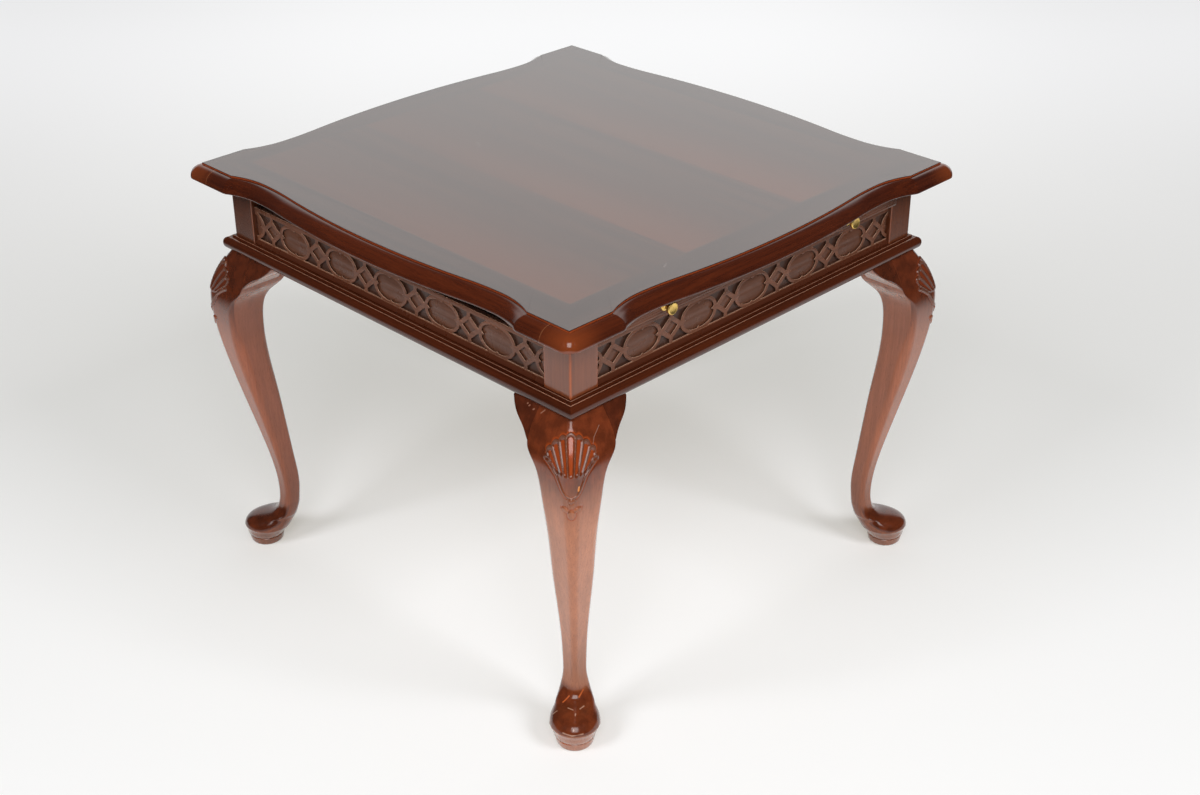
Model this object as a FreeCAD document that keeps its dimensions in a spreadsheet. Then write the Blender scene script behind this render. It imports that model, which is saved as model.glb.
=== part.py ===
import FreeCAD, Part
import Sketcher
import math
import os
import re
from types import SimpleNamespace

# A square occasional table with a flat veneered top, four cabriole legs, blind-fret rails and a
# pull-out slide under the front of the top.
# Frame: +Z up, the floor at z = 0, the origin under the middle of the top, the slide opens towards -Y.
# Lengths are millimetres.

Vector = FreeCAD.Vector

DRIVING = (
    # top
    ("overall_width", 686.0, "left to right over the moulded edge, at the corner flats"),
    ("overall_depth", 698.0, "front to back over the moulded edge, at the corner flats"),
    ("overall_height", 568.0, "floor to the flat of the top"),
    ("top_thickness", 19.0, "core or edge board with its veneer"),
    ("veneer_thickness", 0.8, "face veneer"),
    ("border_width", 45.0, "mitred veneer border, from the edge of the flat"),
    ("edge_board_width", 45.0, "solid edge board, from the outside of its moulding"),
    ("edge_reach", 16.0, "how far the thumb moulding stands out from the flat"),
    ("edge_step", 2.5, "small step between the flat and the thumb moulding"),
    ("edge_arris", 4.0, "rounding under the thumb moulding"),
    ("corner_flat", 64.0, "straight stretch at each end of a side"),
    ("valley_run", 52.0, "from the corner flat's end to the lowest point of the dip"),
    ("valley_depth", 12.0, "dip between corner flat and bow"),
    ("bow_rise", 2.0, "how far the middle of the bow stands out past the corner flats"),
    ("bow_share", 0.75, "part of the bow's radii sum that belongs to its middle arc"),
    # frame
    ("post_size", 42.0, "square post at the head of each leg"),
    ("post_setback", 39.0, "post face behind the outside of the top's edge"),
    ("post_arris", 3.0, "rounding of the post's outer corner"),
    ("slide_gap", 24.5, "clear height between the rails and the top"),
    ("rail_height", 75.0, "rail behind the fret and the base moulding"),
    ("rail_thickness", 20.0, "rail"),
    ("tenon_length", 13.0, "tenon on each end of a rail"),
    ("tenon_thickness", 8.0, "tenon"),
    ("tenon_shoulder", 9.0, "tenon stands back from the rail's edges"),
    ("joint_clearance", 0.1, "glue room round tenons, dowels and screws"),
    # fret
    ("fret_thickness", 8.0, "fret panel"),
    ("fret_recess", 5.0, "fret face behind the post face"),
    ("fret_depth", 2.6, "ground of the fret's spandrels below its straps"),
    ("panel_depth", 1.2, "ground of its ovals and lozenges below the straps"),
    ("fret_height", 36.5, "carved zone"),
    ("fret_top_margin", 4.7, "plain strip above the carved zone"),
    ("fret_pitch", 93.4, "one oval and one lozenge"),
    ("oval_width", 51.0, "inside of an oval"),
    ("oval_height", 31.0, "inside of an oval"),
    ("strap_width", 5.5, "strap round ovals and lozenges"),
    ("lozenge_width", 22.0, "inside of a lozenge"),
    ("lozenge_height", 18.0, "inside of a lozenge"),
    ("cusp_reach", 4.0, "points inside the ends of an oval"),
    ("plinth_height", 6.5, "thicker foot of the fret panel"),
    ("plinth_bevel", 5.0, "slope between the fret's face and the foot"),
    ("plinth_reach", 3.0, "foot stands out from the fret's face"),
    # base moulding
    ("base_height", 19.0, "whole base moulding"),
    ("base_fillet", 3.0, "small square step on top of the bullnose"),
    ("base_fillet_reach", 3.8, "step, out from the post face"),
    ("base_reach", 12.4, "bullnose, out from the post face"),
    # legs
    ("knee_reach", 33.8, "knee, out from the post face"),
    ("knee_start", 6.0, "head of the knee, out from the post face"),
    ("ankle_size", 24.0, "ankle, face to face"),
    ("ankle_inset", 12.8, "ankle's outer face behind the post face"),
    ("pad_radius", 31.0, "pad foot at its rim"),
    ("pad_rim", 27.0, "height of the pad's rim"),
    ("disc_radius", 24.3, "disc under the pad"),
    ("disc_height", 11.5, "disc under the pad"),
    ("foot_offset", 3.0, "disc's centre outside the post's outer corner, on the diagonal"),
    ("ear_length", 42.0, "knee block, along its rail"),
    ("ear_drop", 44.0, "knee block, down its leg"),
    ("ear_thickness", 30.0, "knee block, in from the post face"),
    ("glue_line", 0.3, "between a knee block and its leg"),
    # slide
    ("slide_depth", 430.0, "slide, front to back with its front strip"),
    ("slide_thickness", 18.0, "slide board"),
    ("slide_proud", 8.0, "front strip stands out from the post face"),
    ("slide_strip", 20.0, "front strip, front to back"),
    ("slide_clearance", 0.3, "between the slide and what it runs on"),
    ("slide_side_clearance", 1.0, "between the slide and the posts and guides"),
    ("slide_travel", 280.0, "how far the slide pulls out"),
    ("strip_rounding", 2.5, "front strip's lower edge and ends"),
    ("strip_lower_quirk", 3.6, "sunk line, above the strip's lower edge"),
    ("strip_upper_quirk", 6.8, "sunk line, above the strip's lower edge"),
    ("strip_quirk", 0.9, "width and depth of a sunk line"),
    ("tongue", 6.0, "tongue of the slide board in its front strip"),
    ("batten_width", 20.0, "stop batten under the slide"),
    ("batten_drop", 12.0, "stop batten under the slide"),
    ("batten_room", 5.0, "between the stop batten's ends and the runners"),
    ("knob_spread", 330.0, "between the two knobs"),
    ("knob_radius", 7.8, "knob head"),
    ("knob_reach", 15.0, "knob, out from the front strip"),
    ("knob_plate_radius", 6.5, "rose at the foot of the knob"),
    ("knob_neck_radius", 2.8, "knob neck"),
    ("knob_screw_radius", 1.8, "screw end of the knob"),
    ("knob_screw_length", 12.0, "screw end of the knob"),
    # inner frame
    ("guide_setback", 19.0, "slide guide behind the post face"),
    ("runner_width", 30.0, "runner under each side of the slide"),
    ("runner_height", 22.0, "runner"),
    ("stop_size", 20.0, "block that stops the slide as it closes"),
    ("stop_height", 16.0, "block that stops the slide as it closes"),
    ("block_leg", 50.0, "corner block, along each rail past the post"),
    ("block_gap", 11.0, "between a corner block and the runner above it"),
    ("block_lift", 6.0, "corner block above the rail's lower edge"),
    ("screw_radius", 2.2, "corner block screw"),
    ("screw_head_radius", 4.2, "corner block screw"),
    ("screw_length", 46.0, "corner block screw under its head"),
    ("dowel_radius", 5.0, "dowel between post and top"),
    ("dowel_length", 38.0, "dowel between post and top"),
    ("dowel_cover", 4.0, "core board left above a dowel"),
)

DERIVED = (
    ("half_width", "overall_width / 2"),
    ("half_depth", "overall_depth / 2"),
    ("flat_x", "half_width - edge_reach"),
    ("flat_y", "half_depth - edge_reach"),
    ("core_x", "half_width - edge_board_width"),
    ("core_y", "half_depth - edge_board_width"),
    ("core_top", "overall_height - veneer_thickness"),
    ("underside", "overall_height - top_thickness"),
    ("field_x", "flat_x - border_width"),
    ("field_y", "flat_y - border_width"),
    ("face_x", "half_width - post_setback"),
    ("face_y", "half_depth - post_setback"),
    ("clear_x", "face_x - post_size"),
    ("clear_y", "face_y - post_size"),
    ("rail_top", "underside - slide_gap"),
    ("rail_bottom", "rail_top - rail_height"),
    ("rail_inner", "fret_recess + fret_thickness + rail_thickness"),
    ("rail_outer", "fret_recess + fret_thickness"),
    ("base_top", "rail_bottom + base_height"),
    ("slide_bottom", "rail_top + slide_clearance"),
    ("slide_half", "clear_x - slide_side_clearance"),
    ("slide_front", "0 - face_y - slide_proud"),
    ("slide_back", "slide_front + slide_depth"),
    ("strip_top", "underside - slide_clearance"),
    ("batten_front", "rail_inner - face_y + slide_travel"),
    ("block_bottom", "rail_bottom + block_lift"),
    ("block_height", "rail_top - runner_height - block_gap - block_bottom"),
    ("dowel_bottom", "core_top - dowel_cover - dowel_length"),
)

# Mechanical order of the four sides and the four corners. A side's turn carries the front side
# to it; a corner's turn carries the corner at +X +Y to it.
SIDES = {"front": 0.0, "right": 90.0, "back": 180.0, "left": 270.0}
CORNERS = {"back_right": 0.0, "back_left": 90.0, "front_left": 180.0, "front_right": 270.0}
CORNER_SIGNS = {"back_right": (1, 1), "back_left": (-1, 1), "front_left": (-1, -1), "front_right": (1, -1)}
SCREW_HEIGHTS = (0.27, 0.73)          # the two screws of a corner block, as parts of its height
FAR = 2000.0                          # longer than anything in the table
HOLE_END = 1.0                        # a blind hole goes this much deeper than what it holds
PAD_ROUNDNESS = 0.97                  # corner radius of the pad's sections, as part of half their side
QUARTER_HANDLE = 0.5523               # Bezier handle of a quarter circle, as part of its radius

doc = FreeCAD.newDocument("tea_table")
sheet = doc.addObject("Spreadsheet::Sheet", "Dimensions")
sheet.set("A1", "name")
sheet.set("B1", "value")
sheet.set("C1", "meaning")
for row, (name, value, meaning) in enumerate(DRIVING, start=2):
    sheet.set("A%d" % row, name)
    sheet.set("B%d" % row, "%g" % value)
    sheet.setAlias("B%d" % row, name)
    sheet.set("C%d" % row, meaning)
for row, (name, formula) in enumerate(DERIVED, start=len(DRIVING) + 3):
    sheet.set("A%d" % row, name)
    sheet.set("B%d" % row, "=" + formula)
    sheet.setAlias("B%d" % row, name)
doc.recompute()

ALIASES = [entry[0] for entry in DRIVING + DERIVED]
D = SimpleNamespace(**{name: float(sheet.get(name)) for name in ALIASES})

pieces = []                           # every object that becomes a node


# ---------------------------------------------------------------- document helpers

def bound(text):
    """An expression with each sheet alias written as the sheet's property."""
    def full_name(match):
        word = match.group()
        return "Dimensions." + word if word in ALIASES else word

    return re.sub(r"[a-z_]+", full_name, text)


def place(obj, x="0", y="0", z="0", turn=0.0):
    """Stand an object at three expressions, turned about +Z."""
    obj.Placement = FreeCAD.Placement(Vector(0, 0, 0), FreeCAD.Rotation(Vector(0, 0, 1), turn))
    for axis, text in zip("xyz", (x, y, z)):
        obj.setExpression("Placement.Base." + axis, bound(text))


def name_piece(obj, label):
    obj.Label = label
    pieces.append(obj)
    return obj


def box(label, x, y, z, length, width, height):
    """A Part::Box whose corner and sizes are expressions. x, y and z are its low corner."""
    obj = doc.addObject("Part::Box", label)
    obj.setExpression("Length", bound(length))
    obj.setExpression("Width", bound(width))
    obj.setExpression("Height", bound(height))
    place(obj, x, y, z)
    return obj


def side_box(label, side, start, end, shallow, deep, low, high):
    """A box along a side: start to end along it, shallow to deep inwards from the post face."""
    along = "(%s) - (%s)" % (end, start)
    across = "(%s) - (%s)" % (deep, shallow)
    tall = "(%s) - (%s)" % (high, low)
    if side == "front":
        return box(label, start, "(%s) - face_y" % shallow, low, along, across, tall)
    if side == "back":
        return box(label, start, "face_y - (%s)" % deep, low, along, across, tall)
    if side == "left":
        return box(label, "(%s) - face_x" % shallow, start, low, across, along, tall)
    return box(label, "face_x - (%s)" % deep, start, low, across, along, tall)


def fuse(label, parts):
    obj = doc.addObject("Part::MultiFuse", label)
    obj.Shapes = parts
    return obj


def cut(label, base, tool):
    obj = doc.addObject("Part::Cut", label)
    obj.Base = base
    obj.Tool = tool
    return obj


def feature(label, shape, x="0", y="0", z="0", turn=0.0):
    """A Part::Feature with a shape of its own, then its place."""
    obj = doc.addObject("Part::Feature", label)
    obj.Shape = shape
    place(obj, x, y, z, turn)
    return name_piece(obj, label)


# ---------------------------------------------------------------- geometry helpers

def point_wire(points):
    """A closed wire of straight edges."""
    return Part.Wire(Part.makePolygon(list(points) + [points[0]]))


def prism(points, push):
    return Part.Face(point_wire(points)).extrude(push)


def turned(shape, angle, centre=Vector(0, 0, 0)):
    """A copy turned about a vertical line."""
    copy = shape.copy()
    copy.rotate(centre, Vector(0, 0, 1), angle)
    return copy


def arc(start, middle, end):
    return Part.Arc(start, middle, end).toShape()


def one_solid(shape):
    """The single solid that a boolean should leave, with coplanar faces joined."""
    joined = shape.removeSplitter()
    if len(joined.Solids) != 1:
        raise RuntimeError("expected one solid, found %d" % len(joined.Solids))
    return joined.Solids[0]


# ---------------------------------------------------------------- top: plan and edge section

class Bend:
    """One stretch of the top's outline: a straight line, or an arc about a centre."""

    def __init__(self, start, end, centre=None):
        self.start = start
        self.end = end
        self.centre = centre

    def sweep(self):
        """Turn about the centre from start to end, in degrees."""
        first = self.start - self.centre
        last = self.end - self.centre
        cross = first.x * last.y - first.y * last.x
        return math.degrees(math.atan2(cross, first.dot(last)))

    def edge(self):
        if self.centre is None:
            return Part.LineSegment(self.start, self.end).toShape()
        half = FreeCAD.Rotation(Vector(0, 0, 1), self.sweep() / 2)
        return arc(self.start, self.centre + half.multVec(self.start - self.centre), self.end)

    def heading(self):
        """Direction of travel at the start, in degrees."""
        if self.centre is None:
            way = self.end - self.start
            return math.degrees(math.atan2(way.y, way.x))
        spoke = self.start - self.centre
        quarter = 90.0 if self.sweep() > 0 else -90.0
        return math.degrees(math.atan2(spoke.y, spoke.x)) + quarter

    def heading_end(self):
        return self.heading() + (0.0 if self.centre is None else self.sweep())


def side_bends(half_length, flat):
    """The front side's outline from its left end to its right end, at y = -flat.

    Corner flat, dip, bow, dip, corner flat. The dip's two arcs and the bow's middle arc are
    tangent where they meet; each corner flat meets its dip at a slight angle.
    """
    kink = half_length - D.corner_flat
    valley = kink - D.valley_run
    crest_y = -flat - D.bow_rise
    valley_y = -flat + D.valley_depth
    kink_radius = (D.valley_run ** 2 + D.valley_depth ** 2) / (2 * D.valley_depth)
    drop = D.bow_rise + D.valley_depth
    radii = (valley ** 2 + drop ** 2) / (2 * drop)
    bow_radius = radii * D.bow_share
    dip_radius = radii - bow_radius
    bow_centre = Vector(0, crest_y + bow_radius, 0)
    dip_centre = Vector(-valley, valley_y - dip_radius, 0)
    meet = bow_centre + (dip_centre - bow_centre) * D.bow_share
    kink_centre = Vector(-valley, valley_y - kink_radius, 0)
    left = [
        Bend(Vector(-half_length, -flat, 0), Vector(-kink, -flat, 0)),
        Bend(Vector(-kink, -flat, 0), Vector(-valley, valley_y, 0), kink_centre),
        Bend(Vector(-valley, valley_y, 0), meet, dip_centre),
        Bend(meet, Vector(0, crest_y, 0), bow_centre),
    ]
    right = []
    for bend in reversed(left):
        mirrored = [None if p is None else Vector(-p.x, p.y, 0) for p in (bend.end, bend.start, bend.centre)]
        right.append(Bend(*mirrored))
    return left + right


def turn_bend(bend, angle):
    spin = FreeCAD.Rotation(Vector(0, 0, 1), angle)
    ends = [None if p is None else spin.multVec(p) for p in (bend.start, bend.end, bend.centre)]
    return Bend(*ends)


def outline_bends():
    """The whole outline of the flat, anticlockwise from the front left corner."""
    bends = []
    for side, angle in SIDES.items():
        lengths = (D.flat_x, D.flat_y) if side in ("front", "back") else (D.flat_y, D.flat_x)
        bends.extend(turn_bend(bend, angle) for bend in side_bends(*lengths))
    return bends


def edge_section():
    """Section of the thumb moulding in the XZ plane, x outwards from the edge of the flat."""
    top = D.overall_height - D.edge_step
    thumb_low = D.underside + D.edge_arris
    across = math.cos(math.radians(45))
    thumb = Part.Ellipse(Vector(D.edge_reach, 0, thumb_low), Vector(0, 0, top), Vector(0, 0, thumb_low))
    inner = D.edge_reach - D.edge_arris
    edges = [
        Part.LineSegment(Vector(0, 0, D.underside), Vector(inner, 0, D.underside)).toShape(),
        arc(Vector(inner, 0, D.underside),
            Vector(inner + D.edge_arris * across, 0, thumb_low - D.edge_arris * across),
            Vector(D.edge_reach, 0, thumb_low)),
        Part.ArcOfEllipse(thumb, 0, math.pi / 2).toShape(),
        Part.LineSegment(Vector(0, 0, top), Vector(0, 0, D.underside)).toShape(),
    ]
    return Part.Face(Part.Wire(edges))


def moulded_slab():
    """Core and edge boards in one: the plan of the flat, with the thumb moulding run round it."""
    bends = outline_bends()
    plan = Part.Face(Part.Wire([bend.edge() for bend in bends]))
    slab = plan.extrude(Vector(0, 0, D.core_top - D.underside))
    slab.translate(Vector(0, 0, D.underside))
    section = edge_section()
    runs = []
    for bend, following in zip(bends, bends[1:] + bends[:1]):
        start = section.copy()
        start.rotate(Vector(0, 0, 0), Vector(0, 0, 1), bend.heading() - 90)
        start.translate(bend.start)
        if bend.centre is None:
            runs.append(start.extrude(bend.end - bend.start))
        else:
            runs.append(start.revolve(bend.centre, Vector(0, 0, 1), bend.sweep()))
        corner = (following.heading() - bend.heading_end() + 180) % 360 - 180
        if corner > 1:
            turn = section.copy()
            turn.rotate(Vector(0, 0, 0), Vector(0, 0, 1), bend.heading_end() - 90)
            turn.translate(bend.end)
            runs.append(turn.revolve(bend.end, Vector(0, 0, 1), corner))
    return one_solid(slab.multiFuse(runs))


def plan_box(low_x, low_y, high_x, high_y):
    block = Part.makeBox(high_x - low_x, high_y - low_y, FAR)
    block.translate(Vector(low_x, low_y, 0))
    return block


def build_top():
    name_piece(box("top_core", "0 - core_x", "0 - core_y", "underside", "2 * core_x", "2 * core_y",
                   "core_top - underside"), "top_core")
    name_piece(box("top_veneer_field", "0 - field_x", "0 - field_y", "core_top", "2 * field_x", "2 * field_y",
                   "veneer_thickness"), "top_veneer_field")
    slab = moulded_slab()
    regions = {
        "front": plan_box(-FAR, -FAR, FAR, -D.core_y),
        "back": plan_box(-FAR, D.core_y, FAR, FAR),
        "left": plan_box(-FAR, -D.core_y, -D.core_x, D.core_y),
        "right": plan_box(D.core_x, -D.core_y, FAR, D.core_y),
    }
    for side, region in regions.items():
        feature("top_edge_" + side, one_solid(slab.common(region)))
    plan = Part.Face(Part.Wire([bend.edge() for bend in outline_bends()]))
    sheet_of_veneer = plan.extrude(Vector(0, 0, D.veneer_thickness))
    sheet_of_veneer.translate(Vector(0, 0, D.core_top))
    # the mitres run from the field's corners through the corners of the flat
    inner_x, inner_y = D.field_x, D.field_y
    reach = FAR / 2
    mitres = {
        "front": [Vector(-inner_x, -inner_y, 0), Vector(-inner_x - reach, -inner_y - reach, 0),
                  Vector(inner_x + reach, -inner_y - reach, 0), Vector(inner_x, -inner_y, 0)],
        "right": [Vector(inner_x, -inner_y, 0), Vector(inner_x + reach, -inner_y - reach, 0),
                  Vector(inner_x + reach, inner_y + reach, 0), Vector(inner_x, inner_y, 0)],
    }
    mitres["back"] = [Vector(-p.x, -p.y, 0) for p in mitres["front"]]
    mitres["left"] = [Vector(-p.x, -p.y, 0) for p in mitres["right"]]
    for side, points in mitres.items():
        region = prism(points, Vector(0, 0, FAR))
        feature("top_border_" + side, one_solid(sheet_of_veneer.common(region)))


# ---------------------------------------------------------------- legs
# A leg is drawn with its post's outer corner at the origin and the room's side at +X and +Y.
# All its sections are squares with rounded corners, standing on the diagonal.

def leg_section(height, outer, inner, outer_arris, side_arris, inner_arris, spread=1.0):
    """A rounded square from inner to outer on both axes; spread widens it across the diagonal.

    Its corners are Bezier curves, so every section has the same number of poles and lofts cleanly.
    """
    shear = (1 - spread) / 2

    def spot(x, y):
        skew = shear * (x - y)
        return Vector(x - skew, y + skew, height)

    corners = (
        (outer, outer, -1, -1, outer_arris),
        (inner, outer, 1, -1, side_arris),
        (inner, inner, 1, 1, inner_arris),
        (outer, inner, -1, 1, side_arris),
    )
    bends = []
    for number, (x, y, to_x, to_y, radius) in enumerate(corners):
        handle = radius * (1 - QUARTER_HANDLE)
        poles = [spot(x, y + to_y * radius), spot(x, y + to_y * handle),
                 spot(x + to_x * handle, y), spot(x + to_x * radius, y)]
        bends.append(poles if number % 2 == 0 else poles[::-1])
    edges = []
    for poles, following in zip(bends, bends[1:] + bends[:1]):
        curve = Part.BezierCurve()
        curve.setPoles(poles)
        edges.append(curve.toShape())
        edges.append(Part.LineSegment(poles[-1], following[0]).toShape())
    return Part.Wire(edges)


def round_section(height, heel, toe, half_width, roundness):
    """A section given by its reach along the diagonal, heel to toe, and its half width across."""
    half_length = (toe - heel) / 2
    centre = (toe + heel) / 2 / math.sqrt(2)
    side = half_length / (math.sqrt(2) - (math.sqrt(2) - 1) * roundness)
    arris = side * roundness
    return leg_section(height, centre + side, centre - side, arris, arris, arris, half_width / half_length)


def shank(share, top, ankle):
    return top + (ankle - top) * share


def knee_profile():
    """Height and outward reach of the leg's two outer faces, from the head to below the knee."""
    head = D.rail_bottom
    rise = D.knee_reach - D.knee_start
    return (
        (head, D.knee_start),
        (head - 6.0, D.knee_start + 0.13 * rise),
        (head - 17.5, D.knee_start + 0.42 * rise),
        (head - 28.5, D.knee_start + 0.63 * rise),
        (head - 44.5, D.knee_start + 0.85 * rise),
        (head - 59.5, D.knee_start + 0.965 * rise),
        (head - 75.5, D.knee_reach),
        (head - 98.5, D.knee_reach - 1.2),
    )


def leg_wires():
    """Sections of the cabriole from the head of the knee down to the pad's rim."""
    post = -D.post_size
    uncut = post - 1.0                             # the blank's faces are trimmed flat afterwards
    knee = knee_profile()
    knee_inner = (uncut, uncut, uncut, uncut, uncut, post + 10.6, post + 18.6, post + 22.5)
    knee_arris = (5.0, 6.0, 7.0, 9.0, 11.5, 13.0, 14.0, 14.0)
    side_arris = (0.8, 0.8, 0.8, 0.8, 0.8, 4.0, 7.0, 8.0)
    wires = []
    for (height, outer), inner, arris, side in zip(knee, knee_inner, knee_arris, side_arris):
        wires.append(leg_section(height, outer, inner, arris, side, min(side + 1.0, 8.0)))
    low = D.pad_rim + 62.0                         # the ankle's height
    shank_top = knee[-1][0]
    knee_low, inner_low = knee[-1][1], knee_inner[-1]
    ankle_outer = -D.ankle_inset
    ankle_inner = ankle_outer - D.ankle_size
    # share of the shank's length, share of the outer face's way back, share of the inner face's
    for share, outer_share, inner_share, arris in ((0.185, 0.15, 0.10, 12.0), (0.42, 0.415, 0.39, 9.6),
                                                   (0.66, 0.705, 0.67, 8.0), (0.85, 0.91, 0.89, 7.0),
                                                   (1.0, 1.0, 1.0, 6.6)):
        wires.append(leg_section(shank(share, shank_top, low), shank(outer_share, knee_low, ankle_outer),
                                 shank(inner_share, inner_low, ankle_inner), arris, arris, arris - 1.0))
    # heel, toe and half width of the foot, out from the post's corner along the diagonal
    heel = math.sqrt(2) * ankle_inner + 2.9
    throat = math.sqrt(2) * ankle_outer - 2.9
    pad = D.pad_radius
    offset = D.foot_offset
    for lift, back, front, half, roundness in (
            (46.0, heel + 0.5, throat + 0.2, 14.6, 0.62),
            (33.0, heel + 2.0, throat + 2.4, 17.0, 0.72),
            (22.5, heel + 4.8, throat + 8.6, 20.0, 0.85),
            (17.0, heel + 6.8, throat + 26.0, 23.0, 0.92),
            (13.0, heel + 9.0, offset + pad - 12.0, 25.5, 0.95),
            (8.0, heel + 12.0, offset + pad - 5.5, pad - 2.4, PAD_ROUNDNESS),
            (3.5, heel + 14.5, offset + pad - 2.7, pad - 0.7, PAD_ROUNDNESS),
            (0.0, offset - pad - 4.5, offset + pad - 1.8, pad, PAD_ROUNDNESS)):
        wires.append(round_section(D.pad_rim + lift, back, front, half, roundness))
    return wires


def pad_foot():
    """From the pad's rim in to the disc, then a groove and the disc that stands on the floor."""
    centre = D.foot_offset / math.sqrt(2)
    groove = 1.2
    rim = round_section(D.pad_rim, D.foot_offset - D.pad_radius - 4.5, D.foot_offset + D.pad_radius - 1.8,
                        D.pad_radius, PAD_ROUNDNESS)
    waist_radius = D.disc_radius + 1.0
    waist = round_section(D.disc_height + groove, D.foot_offset - waist_radius, D.foot_offset + waist_radius,
                          waist_radius, PAD_ROUNDNESS)
    band = Part.makeLoft([waist, rim], True, True)
    neck = Part.makeCylinder(D.disc_radius - groove, 2 * groove,
                             Vector(centre, centre, D.disc_height - groove / 2))
    edge_radius = 3.0
    foot_radius = D.disc_radius - 1.5 * edge_radius
    profile = Part.Wire([
        Part.LineSegment(Vector(0, 0, 0), Vector(foot_radius, 0, 0)).toShape(),
        arc(Vector(foot_radius, 0, 0), Vector(foot_radius + 0.75 * edge_radius, 0, 0.3 * edge_radius),
            Vector(foot_radius + edge_radius, 0, edge_radius)),
        Part.LineSegment(Vector(foot_radius + edge_radius, 0, edge_radius),
                         Vector(D.disc_radius, 0, D.disc_height)).toShape(),
        Part.LineSegment(Vector(D.disc_radius, 0, D.disc_height), Vector(0, 0, D.disc_height)).toShape(),
        Part.LineSegment(Vector(0, 0, D.disc_height), Vector(0, 0, 0)).toShape(),
    ])
    disc = Part.Face(profile).revolve(Vector(0, 0, 0), Vector(0, 0, 1), 360)
    disc.translate(Vector(centre, centre, 0))
    return [band, neck, disc]


def mortise(along_x):
    """Room for one rail's tenon in the post."""
    room = D.joint_clearance
    thick = D.tenon_thickness + 2 * room
    deep = D.tenon_length + HOLE_END
    tall = D.rail_height - 2 * D.tenon_shoulder + 2 * room
    middle = D.rail_outer + D.rail_thickness / 2
    hole = Part.makeBox(deep, thick, tall)
    hole.translate(Vector(-D.post_size, -middle - thick / 2, D.rail_bottom + D.tenon_shoulder - room))
    return hole if along_x else hole.mirror(Vector(0, 0, 0), Vector(1, -1, 0).normalize())


def screw_line(part):
    """Start and direction of a corner block screw: out of the block's long face, into the post."""
    face = -(D.rail_inner + D.post_size + D.block_leg) / 2
    height = D.block_bottom + D.block_height * part
    return Vector(face, face, height), Vector(1, 1, 0).normalize()


def screw_hole(part, radius):
    start, way = screw_line(part)
    return Part.makeCylinder(radius, D.screw_length + HOLE_END, start, way)


def leg_shape():
    carved = Part.makeLoft(leg_wires(), True, False)
    arris = D.post_arris
    post = leg_section(D.rail_bottom, 0.0, -D.post_size, arris, 1.2, 1.2)
    head = Part.Face(post).extrude(Vector(0, 0, D.underside - D.rail_bottom))
    leg = carved.multiFuse([head] + pad_foot())
    # the blank's two inner faces, against which the knee blocks are glued, stay flat
    leg = leg.common(plan_box(-D.post_size, -D.post_size, FAR, FAR))
    holes = [mortise(True), mortise(False)]
    middle = -D.post_size / 2
    dowel_hole_low = D.dowel_bottom - HOLE_END
    holes.append(Part.makeCylinder(D.dowel_radius + D.joint_clearance, D.underside - dowel_hole_low,
                                   Vector(middle, middle, dowel_hole_low)))
    holes.extend(screw_hole(part, D.screw_radius + D.joint_clearance) for part in SCREW_HEIGHTS)
    for hole in holes:
        leg = leg.cut(hole)
    return one_solid(leg)


def ear_shape():
    """The knee block on the +X face: the knee's own section, cut off below by an ogee."""
    knee = knee_profile()
    front = Part.BSplineCurve()
    front.interpolate([Vector(reach, 0, height) for height, reach in knee])
    head = Vector(knee[0][1], 0, knee[0][0])
    foot = Vector(knee[-1][1], 0, knee[-1][0])
    back = -D.ear_thickness
    section = Part.Face(Part.Wire([
        front.toShape(),
        Part.makePolygon([foot, Vector(back, 0, foot.z), Vector(back, 0, head.z), head]),
    ]))
    near = -D.post_size - D.glue_line
    tip = -D.post_size - D.ear_length
    block = section.extrude(Vector(0, tip - near, 0))
    block.translate(Vector(0, near, 0))
    # the ogee runs from the tip, where the block ends in a short upright edge, down to the leg
    top = D.rail_bottom
    steps = ((0.0, 0.08), (0.10, 0.25), (0.24, 0.40), (0.53, 0.65), (0.81, 0.85))
    points = [Vector(0, tip + along * D.ear_length, top - down * D.ear_drop) for along, down in steps]
    points.append(Vector(0, near, top - D.ear_drop))
    ogee = Part.BSplineCurve()
    ogee.interpolate(points)
    elevation = Part.Face(Part.Wire([
        ogee.toShape(),
        Part.makePolygon([points[-1], Vector(0, near, top), Vector(0, tip, top), points[0]]),
    ]))
    outline = elevation.extrude(Vector(3 * D.post_size, 0, 0))
    outline.translate(Vector(-2 * D.post_size, 0, 0))
    return one_solid(block.common(outline))


def build_legs():
    leg = leg_shape()
    ear = ear_shape()
    mirrored = ear.mirror(Vector(0, 0, 0), Vector(1, -1, 0).normalize())
    for corner, turn in CORNERS.items():
        sign_x, sign_y = CORNER_SIGNS[corner]
        spot = ("%d * face_x" % sign_x, "%d * face_y" % sign_y)
        feature("leg_" + corner, leg, spot[0], spot[1], "0", turn)
        # a quarter turn swaps which of the two blocks lies under the front or back rail
        under_side, under_rail = (mirrored, ear) if turn in (90.0, 270.0) else (ear, mirrored)
        rail = corner.split("_")[0]
        feature("knee_block_%s_side_rail" % corner, under_side, spot[0], spot[1], "0", turn)
        feature("knee_block_%s_%s_rail" % (corner, rail), under_rail, spot[0], spot[1], "0", turn)


# ---------------------------------------------------------------- rails, fret panels, base moulding

def side_half(side):
    """Half the clear length between the posts of a side, as a sheet alias."""
    return "clear_x" if side in ("front", "back") else "clear_y"


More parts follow.
